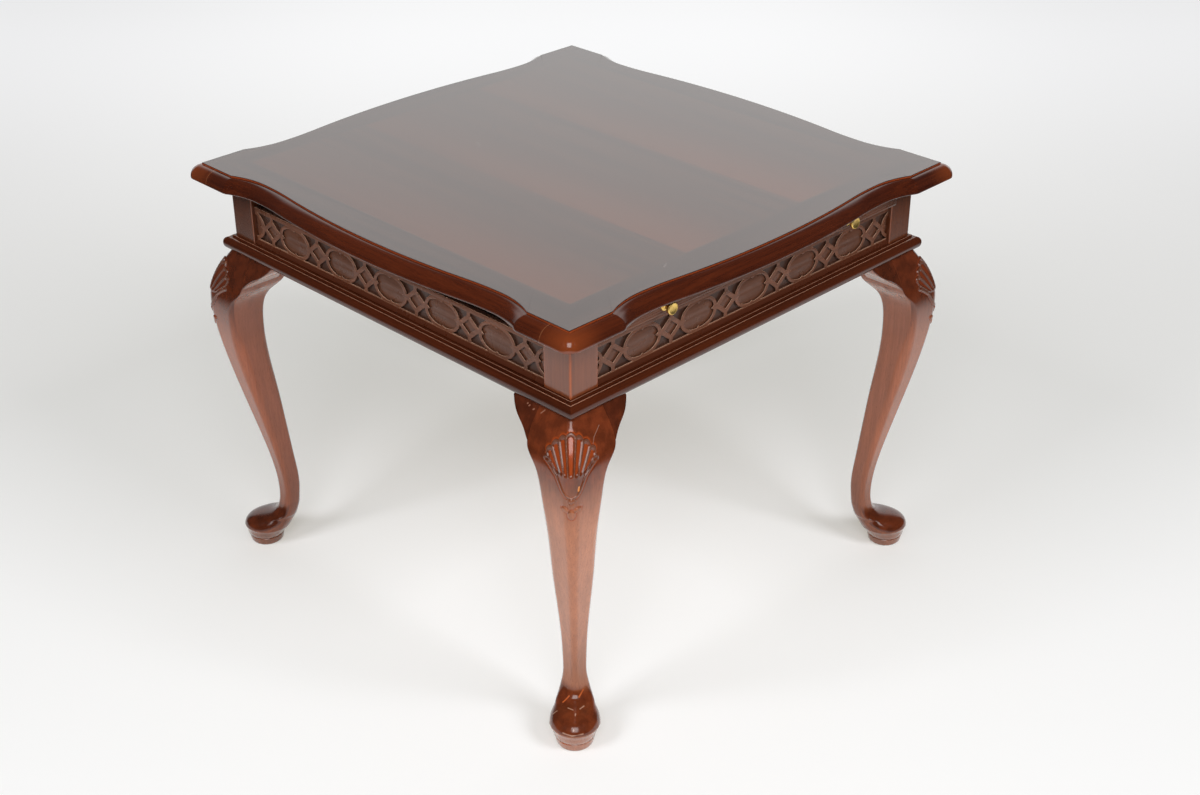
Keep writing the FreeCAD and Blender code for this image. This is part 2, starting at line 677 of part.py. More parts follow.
def build_rails():
    tenon_low = "rail_bottom + tenon_shoulder"
    tenon_high = "rail_top - tenon_shoulder"
    tenon_near = "rail_outer + (rail_thickness - tenon_thickness) / 2"
    for side in SIDES:
        half = side_half(side)
        body = side_box("rail_body_" + side, side, "0 - " + half, half, "rail_outer", "rail_inner",
                        "rail_bottom", "rail_top")
        tenons = side_box("rail_tenons_" + side, side, "0 - %s - tenon_length" % half,
                          half + " + tenon_length", tenon_near, tenon_near + " + tenon_thickness",
                          tenon_low, tenon_high)
        name_piece(fuse("rail_" + side, [body, tenons]), "rail_" + side)


def ellipse_face(centre_x, centre_z, half_x, half_z):
    ellipse = Part.Ellipse(Vector(0, 0, 0), half_x, half_z)
    face = Part.Face(Part.Wire(ellipse.toShape()))
    face.rotate(Vector(0, 0, 0), Vector(1, 0, 0), 90)
    face.translate(Vector(centre_x, 0, centre_z))
    return face


def diamond_face(centre_x, centre_z, half_x, half_z):
    return Part.Face(point_wire([
        Vector(centre_x - half_x, 0, centre_z), Vector(centre_x, 0, centre_z - half_z),
        Vector(centre_x + half_x, 0, centre_z), Vector(centre_x, 0, centre_z + half_z)]))


def rectangle_face(low_x, high_x, low_z, high_z):
    return Part.Face(point_wire([Vector(low_x, 0, low_z), Vector(high_x, 0, low_z),
                                 Vector(high_x, 0, high_z), Vector(low_x, 0, high_z)]))


def fret_windows(half_clear):
    """The sunk grounds of the fret, seen from the front, each with its depth: ovals with cusps and
    lozenges, and the deeper spandrels between them.

    The strip repeats from the middle outwards and is cut off by the posts.
    """
    middle = D.rail_top - D.fret_top_margin - D.fret_height / 2
    half_zone = D.fret_height / 2
    field = rectangle_face(-half_clear, half_clear, middle - half_zone, middle + half_zone)
    half_oval = D.oval_width / 2
    ring_x = half_oval + D.strap_width
    ring_z = D.oval_height / 2 + D.strap_width
    half_lozenge = D.lozenge_width / 2
    strap_slant = D.strap_width * math.hypot(D.lozenge_width, D.lozenge_height) / D.lozenge_height
    outer_x = half_lozenge + strap_slant
    outer_z = outer_x * D.lozenge_height / D.lozenge_width
    repeats = int(half_clear // D.fret_pitch) + 2
    spandrels = field
    straps = []
    sunk = []
    for number in range(-repeats, repeats + 1):
        x = number * D.fret_pitch
        straps.append(ellipse_face(x, middle, ring_x, ring_z))
        oval = ellipse_face(x, middle, half_oval, D.oval_height / 2)
        for end in (-1, 1):
            oval = oval.cut(diamond_face(x + end * half_oval, middle, D.cusp_reach, D.cusp_reach))
            oval = oval.cut(diamond_face(x, middle + end * D.oval_height / 2, D.cusp_reach, D.cusp_reach / 2))
        sunk.append(oval)
        x += D.fret_pitch / 2
        straps.append(diamond_face(x, middle, outer_x, outer_z))
        straps.append(rectangle_face(x - D.strap_width / 2, x + D.strap_width / 2,
                                     middle - half_zone, middle + half_zone))
        sunk.append(diamond_face(x, middle, half_lozenge, D.lozenge_height / 2))
    for strap in straps:
        spandrels = spandrels.cut(strap)
    windows = [(face, D.fret_depth) for face in spandrels.Faces]
    for opening in sunk:
        windows.extend((face, D.panel_depth) for face in opening.common(field).Faces)
    least = D.strap_width                         # slivers beside a post are left uncut
    return [(face, depth) for face, depth in windows if face.Area > least]


def fret_panel(half_clear):
    """A fret panel in the front side's frame, its post face plane at y = 0 and inwards at +Y."""
    face = D.fret_recess
    back = D.rail_outer
    foot = face - D.plinth_reach
    foot_top = D.base_top + D.plinth_height
    profile = [
        Vector(-half_clear, back, D.base_top), Vector(-half_clear, foot, D.base_top),
        Vector(-half_clear, foot, foot_top), Vector(-half_clear, face, foot_top + D.plinth_bevel),
        Vector(-half_clear, face, D.rail_top), Vector(-half_clear, back, D.rail_top)]
    panel = prism(profile, Vector(2 * half_clear, 0, 0))
    tools = []
    for window, depth in fret_windows(half_clear):
        tool = window.extrude(Vector(0, depth + D.fret_recess, 0))
        tools.append(tool)
    return one_solid(panel.cut(Part.makeCompound(tools)))


def base_moulding(half_face, half_clear):
    """A base moulding in the front side's frame, mitred at both ends and let in between the posts."""
    radius = (D.base_height - D.base_fillet) / 2
    step = D.base_reach - radius
    low = D.rail_bottom
    nose_top = low + 2 * radius
    reach = half_face + D.base_reach
    edges = Part.Wire([
        Part.makePolygon([Vector(0, -step, low), Vector(0, D.rail_outer, low),
                          Vector(0, D.rail_outer, D.base_top), Vector(0, -D.base_fillet_reach, D.base_top),
                          Vector(0, -D.base_fillet_reach, nose_top), Vector(0, -step, nose_top)]),
        arc(Vector(0, -step, nose_top), Vector(0, -D.base_reach, nose_top - radius), Vector(0, -step, low)),
    ])
    bar = Part.Face(edges).extrude(Vector(2 * reach, 0, 0))
    bar.translate(Vector(-reach, 0, 0))
    inner = half_face - D.post_size
    mitre = prism([Vector(-reach, -D.base_reach, 0), Vector(reach, -D.base_reach, 0),
                   Vector(inner, D.post_size, 0), Vector(-inner, D.post_size, 0)], Vector(0, 0, FAR))
    posts = [plan_box(-reach, 0, -half_clear, FAR), plan_box(half_clear, 0, reach, FAR)]
    return one_solid(bar.common(mitre).cut(Part.makeCompound(posts)))


def side_spot(side):
    """Where a shape drawn in the front side's frame goes."""
    return {"front": ("0", "0 - face_y"), "right": ("face_x", "0"),
            "back": ("0", "face_y"), "left": ("0 - face_x", "0")}[side]


def build_side_trim():
    for side, turn in SIDES.items():
        wide = side in ("front", "back")
        half_face = D.face_x if wide else D.face_y
        half_clear = half_face - D.post_size
        spot = side_spot(side)
        feature("fret_panel_" + side, fret_panel(half_clear), spot[0], spot[1], "0", turn)
        feature("base_moulding_" + side, base_moulding(half_face, half_clear), spot[0], spot[1], "0", turn)


# ---------------------------------------------------------------- slide

def strip_shape():
    """Front strip of the slide: rounded lower edge, two quirks, rounded ends and a groove for the board."""
    low, high = D.slide_bottom, D.strip_top
    front, back = D.slide_front, D.slide_front + D.slide_strip
    half = D.slide_half
    slant = 1 - math.cos(math.radians(45))
    rounding = D.strip_rounding
    outline = [Vector(0, front + rounding, low), Vector(0, back, low), Vector(0, back, high),
               Vector(0, front, high)]
    for height in (D.strip_upper_quirk, D.strip_lower_quirk):
        outline.extend([Vector(0, front, low + height + D.strip_quirk),
                        Vector(0, front + D.strip_quirk, low + height + D.strip_quirk),
                        Vector(0, front + D.strip_quirk, low + height), Vector(0, front, low + height)])
    outline.append(Vector(0, front, low + rounding))
    nose = arc(outline[-1], Vector(0, front + rounding * slant, low + rounding * slant), outline[0])
    strip = Part.Face(Part.Wire([Part.makePolygon(outline), nose])).extrude(Vector(2 * half, 0, 0))
    strip.translate(Vector(-half, 0, 0))
    end_arcs = []
    for side in (-1, 1):
        end_arcs.append(arc(Vector(side * half, front + rounding, low),
                            Vector(side * (half - rounding * slant), front + rounding * slant, low),
                            Vector(side * (half - rounding), front, low)))
    plan = Part.Wire([
        end_arcs[0],
        Part.makePolygon([Vector(rounding - half, front, low), Vector(half - rounding, front, low)]),
        end_arcs[1],
        Part.makePolygon([Vector(half, front + rounding, low), Vector(half, back, low),
                          Vector(-half, back, low), Vector(-half, front + rounding, low)]),
    ])
    strip = strip.common(Part.Face(plan).extrude(Vector(0, 0, high - low)))
    room = D.joint_clearance
    groove = Part.makeBox(2 * half, D.tongue + room, D.tongue + 2 * room)
    groove.translate(Vector(-half, back - D.tongue - room, low + (D.slide_thickness - D.tongue) / 2 - room))
    strip = strip.cut(groove)
    for side in (-1, 1):
        mouth = Vector(side * D.knob_spread / 2, front, (low + high) / 2)
        strip = strip.cut(Part.makeCylinder(D.knob_screw_radius + room, D.knob_screw_length + HOLE_END, mouth,
                                            Vector(0, 1, 0)))
    return one_solid(strip)


def knob_body(label, side):
    """A turned brass knob: rose, neck, dished head and the screw end that holds it."""
    body = doc.addObject("PartDesign::Body", label)
    sketch = body.newObject("Sketcher::SketchObject", label + "_half_section")
    plane = [item for item in body.Origin.OriginFeatures if item.Role == "XY_Plane"][0]
    sketch.AttachmentSupport = [(plane, "")]
    sketch.MapMode = "FlatFace"
    # sketch y runs out of the strip's face; the section lies at x >= 0
    corners = (
        ("knob_screw_radius * 0", "0 - knob_screw_length"),
        ("knob_screw_radius", "0 - knob_screw_length"),
        ("knob_screw_radius", "0"),
        ("knob_plate_radius", "0"),
        ("knob_plate_radius", "knob_reach * 0.08"),
        ("knob_neck_radius", "knob_reach * 0.18"),
        ("knob_neck_radius", "knob_reach * 0.5"),
        ("knob_radius * 0.8", "knob_reach * 0.7"),
        ("knob_radius", "knob_reach * 0.85"),
        ("knob_radius * 0.93", "knob_reach"),
        ("knob_radius * 0.7", "knob_reach"),
        ("knob_radius * 0.45", "knob_reach * 0.9"),
        ("knob_radius * 0", "knob_reach * 0.87"),
    )
    count = len(corners)
    for number in range(count):
        # start points only roughly right; the constraints below put them in place
        start = Vector(number + 1.0, number, 0)
        end = Vector(number + 2.0, number + 1.0, 0)
        sketch.addGeometry(Part.LineSegment(start, end), False)
    for number in range(count):
        sketch.addConstraint(Sketcher.Constraint("Coincident", number, 2, (number + 1) % count, 1))
    for number, (across, out) in enumerate(corners):
        if across.endswith("* 0"):
            sketch.addConstraint(Sketcher.Constraint("PointOnObject", number, 1, -2))
        else:
            index = sketch.addConstraint(Sketcher.Constraint("DistanceX", -1, 1, number, 1, 1.0 + number))
            sketch.setExpression("Constraints[%d]" % index, bound(across))
        if out == "0":
            sketch.addConstraint(Sketcher.Constraint("PointOnObject", number, 1, -1))
        else:
            guess = -1.0 - number if out.startswith("0 -") else 1.0 + number
            index = sketch.addConstraint(Sketcher.Constraint("DistanceY", -1, 1, number, 1, guess))
            sketch.setExpression("Constraints[%d]" % index, bound(out))
    doc.recompute()
    turning = body.newObject("PartDesign::Revolution", label + "_turning")
    turning.Profile = sketch
    turning.ReferenceAxis = (sketch, ["V_Axis"])
    turning.Angle = 360.0
    doc.recompute()
    body.Placement = FreeCAD.Placement(Vector(0, 0, 0), FreeCAD.Rotation(Vector(0, 0, 1), 180))
    body.setExpression("Placement.Base.x", bound("%d * knob_spread / 2" % side))
    body.setExpression("Placement.Base.y", bound("slide_front"))
    body.setExpression("Placement.Base.z", bound("(slide_bottom + strip_top) / 2"))
    return name_piece(body, label)


def build_slide():
    tongue_low = "slide_bottom + (slide_thickness - tongue) / 2"
    board = box("slide_board_field", "0 - slide_half", "slide_front + slide_strip", "slide_bottom",
                "2 * slide_half", "slide_depth - slide_strip", "slide_thickness")
    tongue = box("slide_board_tongue", "0 - slide_half", "slide_front + slide_strip - tongue", tongue_low,
                 "2 * slide_half", "2 * tongue", "tongue")
    name_piece(fuse("slide_board", [board, tongue]), "slide_board")
    feature("slide_front_strip", strip_shape())
    knob_body("knob_left", -1)
    knob_body("knob_right", 1)
    reach = "(clear_x - runner_width - batten_room)"
    name_piece(box("slide_stop_batten", "0 - " + reach, "batten_front", "slide_bottom - batten_drop",
                   "2 * " + reach, "batten_width", "batten_drop"), "slide_stop_batten")


# ---------------------------------------------------------------- inner frame and fastenings

def corner_block(label, corner, turn):
    """A glue block in the corner of the rails, notched round the post."""
    body = doc.addObject("PartDesign::Body", label + "_sawn")
    sketch = body.newObject("Sketcher::SketchObject", label + "_plan")
    plane = [item for item in body.Origin.OriginFeatures if item.Role == "XY_Plane"][0]
    sketch.AttachmentSupport = [(plane, "")]
    sketch.MapMode = "FlatFace"
    near = "0 - rail_inner"
    post = "0 - post_size"
    far = "0 - post_size - block_leg"
    plan = ((post, near), (far, near), (near, far), (near, post), (post, post))
    rough = ((-42, -33), (-92, -33), (-33, -92), (-33, -42), (-42, -42))
    count = len(plan)
    for number in range(count):
        start, end = rough[number], rough[(number + 1) % count]
        sketch.addGeometry(Part.LineSegment(Vector(start[0], start[1], 0), Vector(end[0], end[1], 0)), False)
    for number in range(count):
        sketch.addConstraint(Sketcher.Constraint("Coincident", number, 2, (number + 1) % count, 1))
    for number, (x, y) in enumerate(plan):
        for kind, text, value in (("DistanceX", x, rough[number][0]), ("DistanceY", y, rough[number][1])):
            index = sketch.addConstraint(Sketcher.Constraint(kind, -1, 1, number, 1, float(value)))
            sketch.setExpression("Constraints[%d]" % index, bound(text))
    doc.recompute()
    pad = body.newObject("PartDesign::Pad", label + "_pad")
    pad.Profile = sketch
    pad.setExpression("Length", bound("block_height"))
    doc.recompute()
    sign_x, sign_y = CORNER_SIGNS[corner]
    place(body, "%d * face_x" % sign_x, "%d * face_y" % sign_y, "block_bottom", turn)
    doc.recompute()
    holes = []
    for part in SCREW_HEIGHTS:
        hole = screw_hole(part, D.screw_radius + D.joint_clearance)
        spun = turned(hole, turn)
        spun.translate(Vector(sign_x * D.face_x, sign_y * D.face_y, 0))
        holes.append(spun)
    bores = doc.addObject("Part::Feature", label + "_bores")
    bores.Shape = Part.makeCompound(holes)
    return name_piece(cut(label, body, bores), label)


def screw_shape(part):
    """A round-headed screw, its head on the block's long face."""
    start, way = screw_line(part)
    shank_part = Part.makeCylinder(D.screw_radius, D.screw_length, start, way)
    head_radius = D.screw_head_radius
    head = Part.makeCone(head_radius, 0.7 * head_radius, 0.6 * head_radius, start, way * -1)
    return one_solid(shank_part.fuse(head))


def build_inner_frame():
    for side in ("left", "right"):
        name_piece(side_box("slide_guide_" + side, side, "0 - clear_y", "clear_y", "guide_setback",
                            "post_size", "rail_top", "underside"), "slide_guide_" + side)
        name_piece(side_box("slide_runner_" + side, side, "0 - clear_y", "clear_y", "rail_inner",
                            "rail_inner + runner_width", "rail_top - runner_height", "rail_top"),
                   "slide_runner_" + side)
    name_piece(side_box("upper_rail_back", "back", "0 - clear_x", "clear_x", "guide_setback", "post_size",
                        "rail_top", "underside"), "upper_rail_back")
    stops = doc.addObject("Part::Compound", "slide_back_stops")
    stops.Links = [
        box("stop_left", "0 - slide_half", "slide_back", "rail_top", "stop_size", "stop_size", "stop_height"),
        box("stop_right", "slide_half - stop_size", "slide_back", "rail_top", "stop_size", "stop_size",
            "stop_height")]
    name_piece(stops, "slide_back_stops")
    screws = []
    dowels = []
    for corner, turn in CORNERS.items():
        corner_block("corner_block_" + corner, corner, turn)
        sign_x, sign_y = CORNER_SIGNS[corner]
        spot = Vector(sign_x * D.face_x, sign_y * D.face_y, 0)
        for part in SCREW_HEIGHTS:
            screw = turned(screw_shape(part), turn)
            screw.translate(spot)
            screws.append(screw)
        middle = Vector(spot.x - sign_x * D.post_size / 2, spot.y - sign_y * D.post_size / 2, D.dowel_bottom)
        dowels.append(Part.makeCylinder(D.dowel_radius, D.dowel_length, middle))
    feature("corner_block_screws", Part.makeCompound(screws))
    feature("post_dowels", Part.makeCompound(dowels))


def drill_core():
    """Blind holes for the four dowels in the core's underside."""
    core = [piece for piece in pieces if piece.Label == "top_core"][0]
    pieces.remove(core)
    core.Label = "top_core_board"
    holes = []
    for sign_x, sign_y in CORNER_SIGNS.values():
        inset = D.post_size / 2
        middle = Vector(sign_x * (D.face_x - inset), sign_y * (D.face_y - inset), D.underside)
        depth = D.dowel_bottom + D.dowel_length + HOLE_END - D.underside
        holes.append(Part.makeCylinder(D.dowel_radius + D.joint_clearance, depth, middle))
    bores = doc.addObject("Part::Feature", "core_bores")
    bores.Shape = Part.makeCompound(holes)
    name_piece(cut("top_core_drilled", core, bores), "top_core")


# ---------------------------------------------------------------- build, check, write

build_top()
drill_core()
build_legs()
build_rails()
build_side_trim()
build_slide()
build_inner_frame()
doc.recompute()

for obj in doc.Objects:
    if "Invalid" in obj.State or "Error" in obj.State:
        raise RuntimeError("%s failed: %s" % (obj.Label, obj.State))
labels = [piece.Label for piece in pieces]
if len(set(labels)) != len(labels):
    raise RuntimeError("two pieces share a name")
for piece in pieces:
    if piece.Shape.isNull() or not piece.Shape.isValid() or not piece.Shape.Solids:
        raise RuntimeError("%s has no valid solid" % piece.Label)

os.makedirs("parts", exist_ok=True)
for piece in pieces:
    piece.Shape.exportStep("parts/%s.step" % piece.Label)
print("%d nodes, %d solids" % (len(pieces), sum(len(piece.Shape.Solids) for piece in pieces)))
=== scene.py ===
import bmesh
import bpy
from math import asin, copysign, cos, degrees, hypot, pi, radians, sin, sqrt
import numpy as np
from mathutils import Matrix, Vector


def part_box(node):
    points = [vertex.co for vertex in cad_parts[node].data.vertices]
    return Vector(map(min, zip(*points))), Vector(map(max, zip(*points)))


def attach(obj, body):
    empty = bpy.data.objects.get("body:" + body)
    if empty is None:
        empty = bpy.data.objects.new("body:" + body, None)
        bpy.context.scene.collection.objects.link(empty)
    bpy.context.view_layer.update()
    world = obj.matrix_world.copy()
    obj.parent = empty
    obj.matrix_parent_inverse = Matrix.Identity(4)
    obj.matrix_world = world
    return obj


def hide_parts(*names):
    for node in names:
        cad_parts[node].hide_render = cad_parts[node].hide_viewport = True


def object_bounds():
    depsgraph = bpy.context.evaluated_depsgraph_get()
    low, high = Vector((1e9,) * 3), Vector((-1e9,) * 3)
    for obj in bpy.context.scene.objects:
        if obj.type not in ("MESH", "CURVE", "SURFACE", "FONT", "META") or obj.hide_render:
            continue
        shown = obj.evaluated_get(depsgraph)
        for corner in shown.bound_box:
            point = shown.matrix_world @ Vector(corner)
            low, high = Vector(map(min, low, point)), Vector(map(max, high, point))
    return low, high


# A square occasional table with a serpentine moulded top, cabriole legs with carved knees, blind-fret
# rails and a pull-out slide. Shapes are worked out in millimetres in the frame's own axes and become
# metres when a mesh is made. The slide opens towards -Y.

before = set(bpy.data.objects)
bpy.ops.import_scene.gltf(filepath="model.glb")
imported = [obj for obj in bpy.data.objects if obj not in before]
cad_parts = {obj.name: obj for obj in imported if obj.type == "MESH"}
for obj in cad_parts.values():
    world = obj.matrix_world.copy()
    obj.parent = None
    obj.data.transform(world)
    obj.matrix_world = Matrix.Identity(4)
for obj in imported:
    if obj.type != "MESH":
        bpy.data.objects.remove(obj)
cad_low, cad_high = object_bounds()

MM = 0.001
SIDES = ("front", "right", "back", "left")
# for each corner, a quarter turn on from the one before: the signs of x and y, and the painted light that makes its leg
# pale and red
CORNERS = {"back_right": (1, 1, 0.1), "back_left": (-1, 1, 0.0), "front_left": (-1, -1, 1.0),
           "front_right": (1, -1, 0.25)}


def node_box(node):
    """The lowest and highest corners of a CAD node, in millimetres."""
    return [np.array(corner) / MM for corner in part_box(node)]


# sizes read from the frame
TOP = cad_high.z / MM
(_, _, VENEER_LOW), (FIELD_X, FIELD_Y, _) = node_box("top_veneer_field")
(_, _, UNDERSIDE), (CORE_X, CORE_Y, _) = node_box("top_core")
(_, _, RAIL_LOW), (_, _, BASE_TOP) = node_box("base_moulding_front")
CLEAR_X, _, FRET_TOP = node_box("fret_panel_front")[1]
CLEAR_Y = node_box("fret_panel_left")[1][1]
STRIP_LOW, STRIP_HIGH = node_box("slide_front_strip")

# sizes of the mouldings, posts and carving
FLAT_X, FLAT_Y = 327.0, 333.0
POST = 42.0
FACE_X, FACE_Y = CLEAR_X + POST, CLEAR_Y + POST
EDGE_REACH, EDGE_STEP, EDGE_ARRIS = 16.0, 2.5, 1.2
CORNER_FLAT, VALLEY_RUN, VALLEY_DEPTH, BOW_RISE, BOW_SHARE = 64.0, 52.0, 12.0, 2.0, 0.75
BASE_REACH, BASE_FILLET, BASE_FILLET_REACH, NOSE_DEPTH = 12.4, 2.7, 3.0, 5.0
RAIL_OUTER = 13.0
PATH_SPACING = 5.0
OUTSIDE_X, OUTSIDE_Y = FACE_X - 20.0, FACE_Y - 20.0


# ---- meshes

def show(name, solid, finish, slot, node, crease=35.0, body="table", **fields):
    """Show a solid (points in millimetres, faces) as a piece that rides on a body and stands for a CAD node.

    Each field becomes a value per point that the piece's material can read.
    """
    points, faces = solid
    mesh = bpy.data.meshes.new(name)
    mesh.from_pydata((np.asarray(points, float) * MM).tolist(), [], faces)
    for field, values in fields.items():
        attribute = mesh.attributes.new(field, "FLOAT", "POINT")
        attribute.data.foreach_set("value", np.asarray(values, np.float32).reshape(-1))
    work = bmesh.new()
    work.from_mesh(mesh)
    bmesh.ops.remove_doubles(work, verts=work.verts, dist=2e-6)
    bmesh.ops.dissolve_degenerate(work, edges=work.edges, dist=1e-6)
    bmesh.ops.recalc_face_normals(work, faces=work.faces)
    work.to_mesh(mesh)
    work.free()
    mesh.shade_smooth()
    mesh.set_sharp_from_angle(angle=radians(crease))
    mesh.materials.append(MATERIALS[finish])
    obj = bpy.data.objects.new(name, mesh)
    bpy.context.scene.collection.objects.link(obj)
    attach(obj, body)
    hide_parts(node)


def loft(rings):
    """Points and faces of a solid through equal rings of points, capped at both ends."""
    rings = np.asarray(rings, float)
    rows, n = rings.shape[:2]
    faces = [(row * n + k, row * n + (k + 1) % n, (row + 1) * n + (k + 1) % n, (row + 1) * n + k)
             for row in range(rows - 1) for k in range(n)]
    return rings.reshape(-1, 3), faces + [tuple(range(n)), tuple(range((rows - 1) * n, rows * n))]


def join_parts(parts):
    """Several (points, faces) as one."""
    points, faces = [], []
    for more_points, more_faces in parts:
        first = len(points)
        points.extend(np.asarray(more_points).tolist())
        faces.extend(tuple(first + index for index in face) for face in more_faces)
    return points, faces


def natural_spline(knots, values, at):
    """Natural cubic spline through the rows of values, one row per knot."""
    step = np.diff(knots)
    slope = np.diff(values, axis=0) / step[:, None]
    system = np.diag(2 * (step[:-1] + step[1:])) + np.diag(step[1:-1], 1) + np.diag(step[1:-1], -1)
    bend = np.pad(np.linalg.solve(system, 6 * np.diff(slope, axis=0)), ((1, 1), (0, 0)))
    spot = np.clip(np.searchsorted(knots, at) - 1, 0, len(step) - 1)
    gap = step[spot][:, None]
    near = (at - knots[spot])[:, None]

    def pull(end, distance):
        return bend[end] * distance ** 3 / (6 * gap) + (values[end] / gap - bend[end] * gap / 6) * distance

    return pull(spot, gap - near) + pull(spot + 1, near)


def ease(low, high, value):
    """Smooth step from 0 at low to 1 at high."""
    share = np.clip((value - low) / (high - low), 0, 1)
    return share * share * (3 - 2 * share)


def arc(centre, radii, start, end, count):
    """Points round an ellipse between two angles in degrees."""
    angles = np.radians(np.linspace(start, end, count))
    return np.stack([centre[0] + radii[0] * np.cos(angles), centre[1] + radii[1] * np.sin(angles)], axis=-1)


def turned(x, y, quarters):
    """A point turned anticlockwise about the middle by quarter turns."""
    return ((x, y), (-y, x), (-x, -y), (y, -x))[quarters % 4]


def along(side, across_x, across_y):
    """The first of two things for the front and back, the second for the left and right."""
    return across_x if side in ("front", "back") else across_y


def side_solid(side, parts):
    """Solids drawn in the front side's frame (post face at y = 0, inwards +Y), joined and carried to their side."""
    points, faces = join_parts(parts)
    x, y, z = np.array(points).T
    x, y = turned(x, y - along(side, FACE_Y, FACE_X), SIDES.index(side))
    return np.stack([x, y, z], axis=-1), faces


# ---- node graphs

class Value:
    """A number, colour or shader in a node tree; plain arithmetic adds math nodes."""

    def __init__(self, graph, socket):
        self.graph, self.socket = graph, socket

    def __add__(self, other):
        return self.graph.calc("ADD", self, other)

    def __sub__(self, other):
        return self.graph.calc("SUBTRACT", self, other)

    def __mul__(self, other):
        return self.graph.calc("MULTIPLY", self, other)

    def __abs__(self):
        return self.graph.calc("ABSOLUTE", self)

    def span(self, low, high, start=0.0, end=1.0):
        """Smooth step of the value from low to high, onto start to end."""
        return self.graph.add("MapRange", self, low, high, start, end, interpolation_type="SMOOTHSTEP")


class Graph:
    """Short forms for building the node tree of a material or world."""

    def __init__(self, owner):
        owner.use_nodes = True
        self.owner, self.tree = owner, owner.node_tree
        self.tree.nodes.clear()

    def add(self, kind, *values, out=0, **options):
        """Add a node and return one of its outputs.

        Values feed its inputs in order, past any None. Capitalised options are inputs, the others settings.
        """
        node = self.tree.nodes.new("ShaderNode" + kind)
        fed = list(zip(node.inputs, values))
        for key, value in options.items():
            if key[0].isupper():
                fed.append((node.inputs[key.replace("_", " ")], value))
            else:
                setattr(node, key, value)
        for socket, value in fed:
            if isinstance(value, Value):
                self.tree.links.new(value.socket, socket)
            elif value is not None:
                socket.default_value = value
        return Value(self, node.outputs[out]) if node.outputs else None

    def calc(self, operation, *values):
        return self.add("Math", *values, operation=operation)

    def mix(self, share, first, second, blend="MIX"):
        """Two colours mixed by share or blended; the node's inputs 1 to 5 are for other kinds of value."""
        colours = [value + (1.0,) if isinstance(value, tuple) else value for value in (first, second)]
        return self.add("Mix", share, *[None] * 5, *colours, out=2, data_type="RGBA", blend_type=blend)

    def layer(self, colour, coats):
        """Coats, each given as (share, colour), laid over a colour in turn."""
        for share, coat in coats:
            colour = self.mix(share, colour, coat)
        return colour

    def spot(self):
        """Position in the object's own frame, in metres."""
        return self.add("TexCoord", out="Object")

    def axes(self, vector=None):
        """The x, y and z of a vector, or of the position."""
        node = self.add("SeparateXYZ", vector or self.spot()).socket.node
        return [Value(self, socket) for socket in node.outputs]

    def facing(self):
        """The x, y and z of the surface's direction."""
        return self.axes(self.add("NewGeometry", out="Normal"))

    def noise(self, scale=1.0, detail=2.0, rough=0.5, warp=0.0, vector=None):
        return self.add("TexNoise", Vector=vector or self.spot(), Scale=scale, Detail=detail, Roughness=rough,
                        Distortion=warp)

    def field(self, name):
        return self.add("Attribute", out="Fac", attribute_name=name)

    def stroke(self, start, end, radius):
        """1 near a straight line between two points given in millimetres, fading out at its radius."""
        start, end = Vector(start) * MM, Vector(end) * MM
        way = end - start

        def step(operation, *values, out=0):
            return self.add("VectorMath", *values, out=out, operation=operation)

        away = step("SUBTRACT", self.spot(), tuple(start))
        dot = step("DOT_PRODUCT", away, tuple(way / way.length_squared), out="Value")
        share = self.add("Math", dot, 0.0, operation="ADD", use_clamp=True)
        nearest = step("MULTIPLY", self.add("CombineXYZ", share, share, share), tuple(way))
        distance = step("LENGTH", step("SUBTRACT", away, nearest), out="Value")
        return distance.span(radius * MM, radius * MM / 2)

    def bump(self, height, distance, strength):
        return self.add("Bump", Height=height, Distance=distance, Strength=strength)

    def surface(self, colour, rough, normal, **inputs):
        """The finished material, of one shader."""
        shader = self.add("BsdfPrincipled", Base_Color=colour, Roughness=rough, Normal=normal, **inputs)
        self.add("OutputMaterial", Surface=shader)
        return self.owner


def new_graph(name):
    return Graph(bpy.data.materials.new(name))


def darker(colour, share):
    return tuple(share * part for part in colour)


def grain_fields(g, axis, vector=None):
    """Fibres, streaks, broad tone and pores of a wood whose fibres follow an axis of the vector."""
    def scaled(across, lengthwise, **look):
        scale = [across] * 3
        scale[axis] = lengthwise
        return g.noise(vector=g.add("Mapping", Vector=vector or g.spot(), Scale=scale), **look)

    return (scaled(420, 9, detail=4, rough=0.6, warp=0.15), scaled(75, 2.2, detail=3, rough=0.55, warp=0.5),
            scaled(11, 2.0, detail=2), scaled(1500, 60, detail=1).span(0.60, 0.70))


def lacquer_coat(g, colour, roughness, coat=1.0):
    """Clear lacquer over stained wood: a mirror-like coat with faint unevenness and wear."""
    normal = g.bump(g.noise(240), 0.00006, 0.4)
    rough = g.noise(35, 4, 0.6).span(0.35, 0.7, roughness * 0.85, roughness * 1.3)
    return g.surface(colour, rough, normal, Coat_Roughness=rough, Coat_Normal=normal, Coat_Weight=coat,
                     Specular_IOR_Level=0.15)


def lacquered_wood(name, axis, dark, light, roughness=0.11, coat=1.0, layers=None):
    """Stained wood under lacquer, its fibres along one axis of the frame; layers gives further coats of colour."""
    g = new_graph(name)
    fibre, streak, broad, pores = grain_fields(g, axis)
    tone = fibre * 0.30 + streak * 0.30 + broad * 0.40
    colour = g.mix(tone.span(0.34, 0.66), dark, light)
    colour = g.mix(pores * 0.35, colour, darker(dark, 0.35))
    if layers:
        colour = g.layer(colour, layers(g, axis))
    return lacquer_coat(g, colour, roughness, coat)


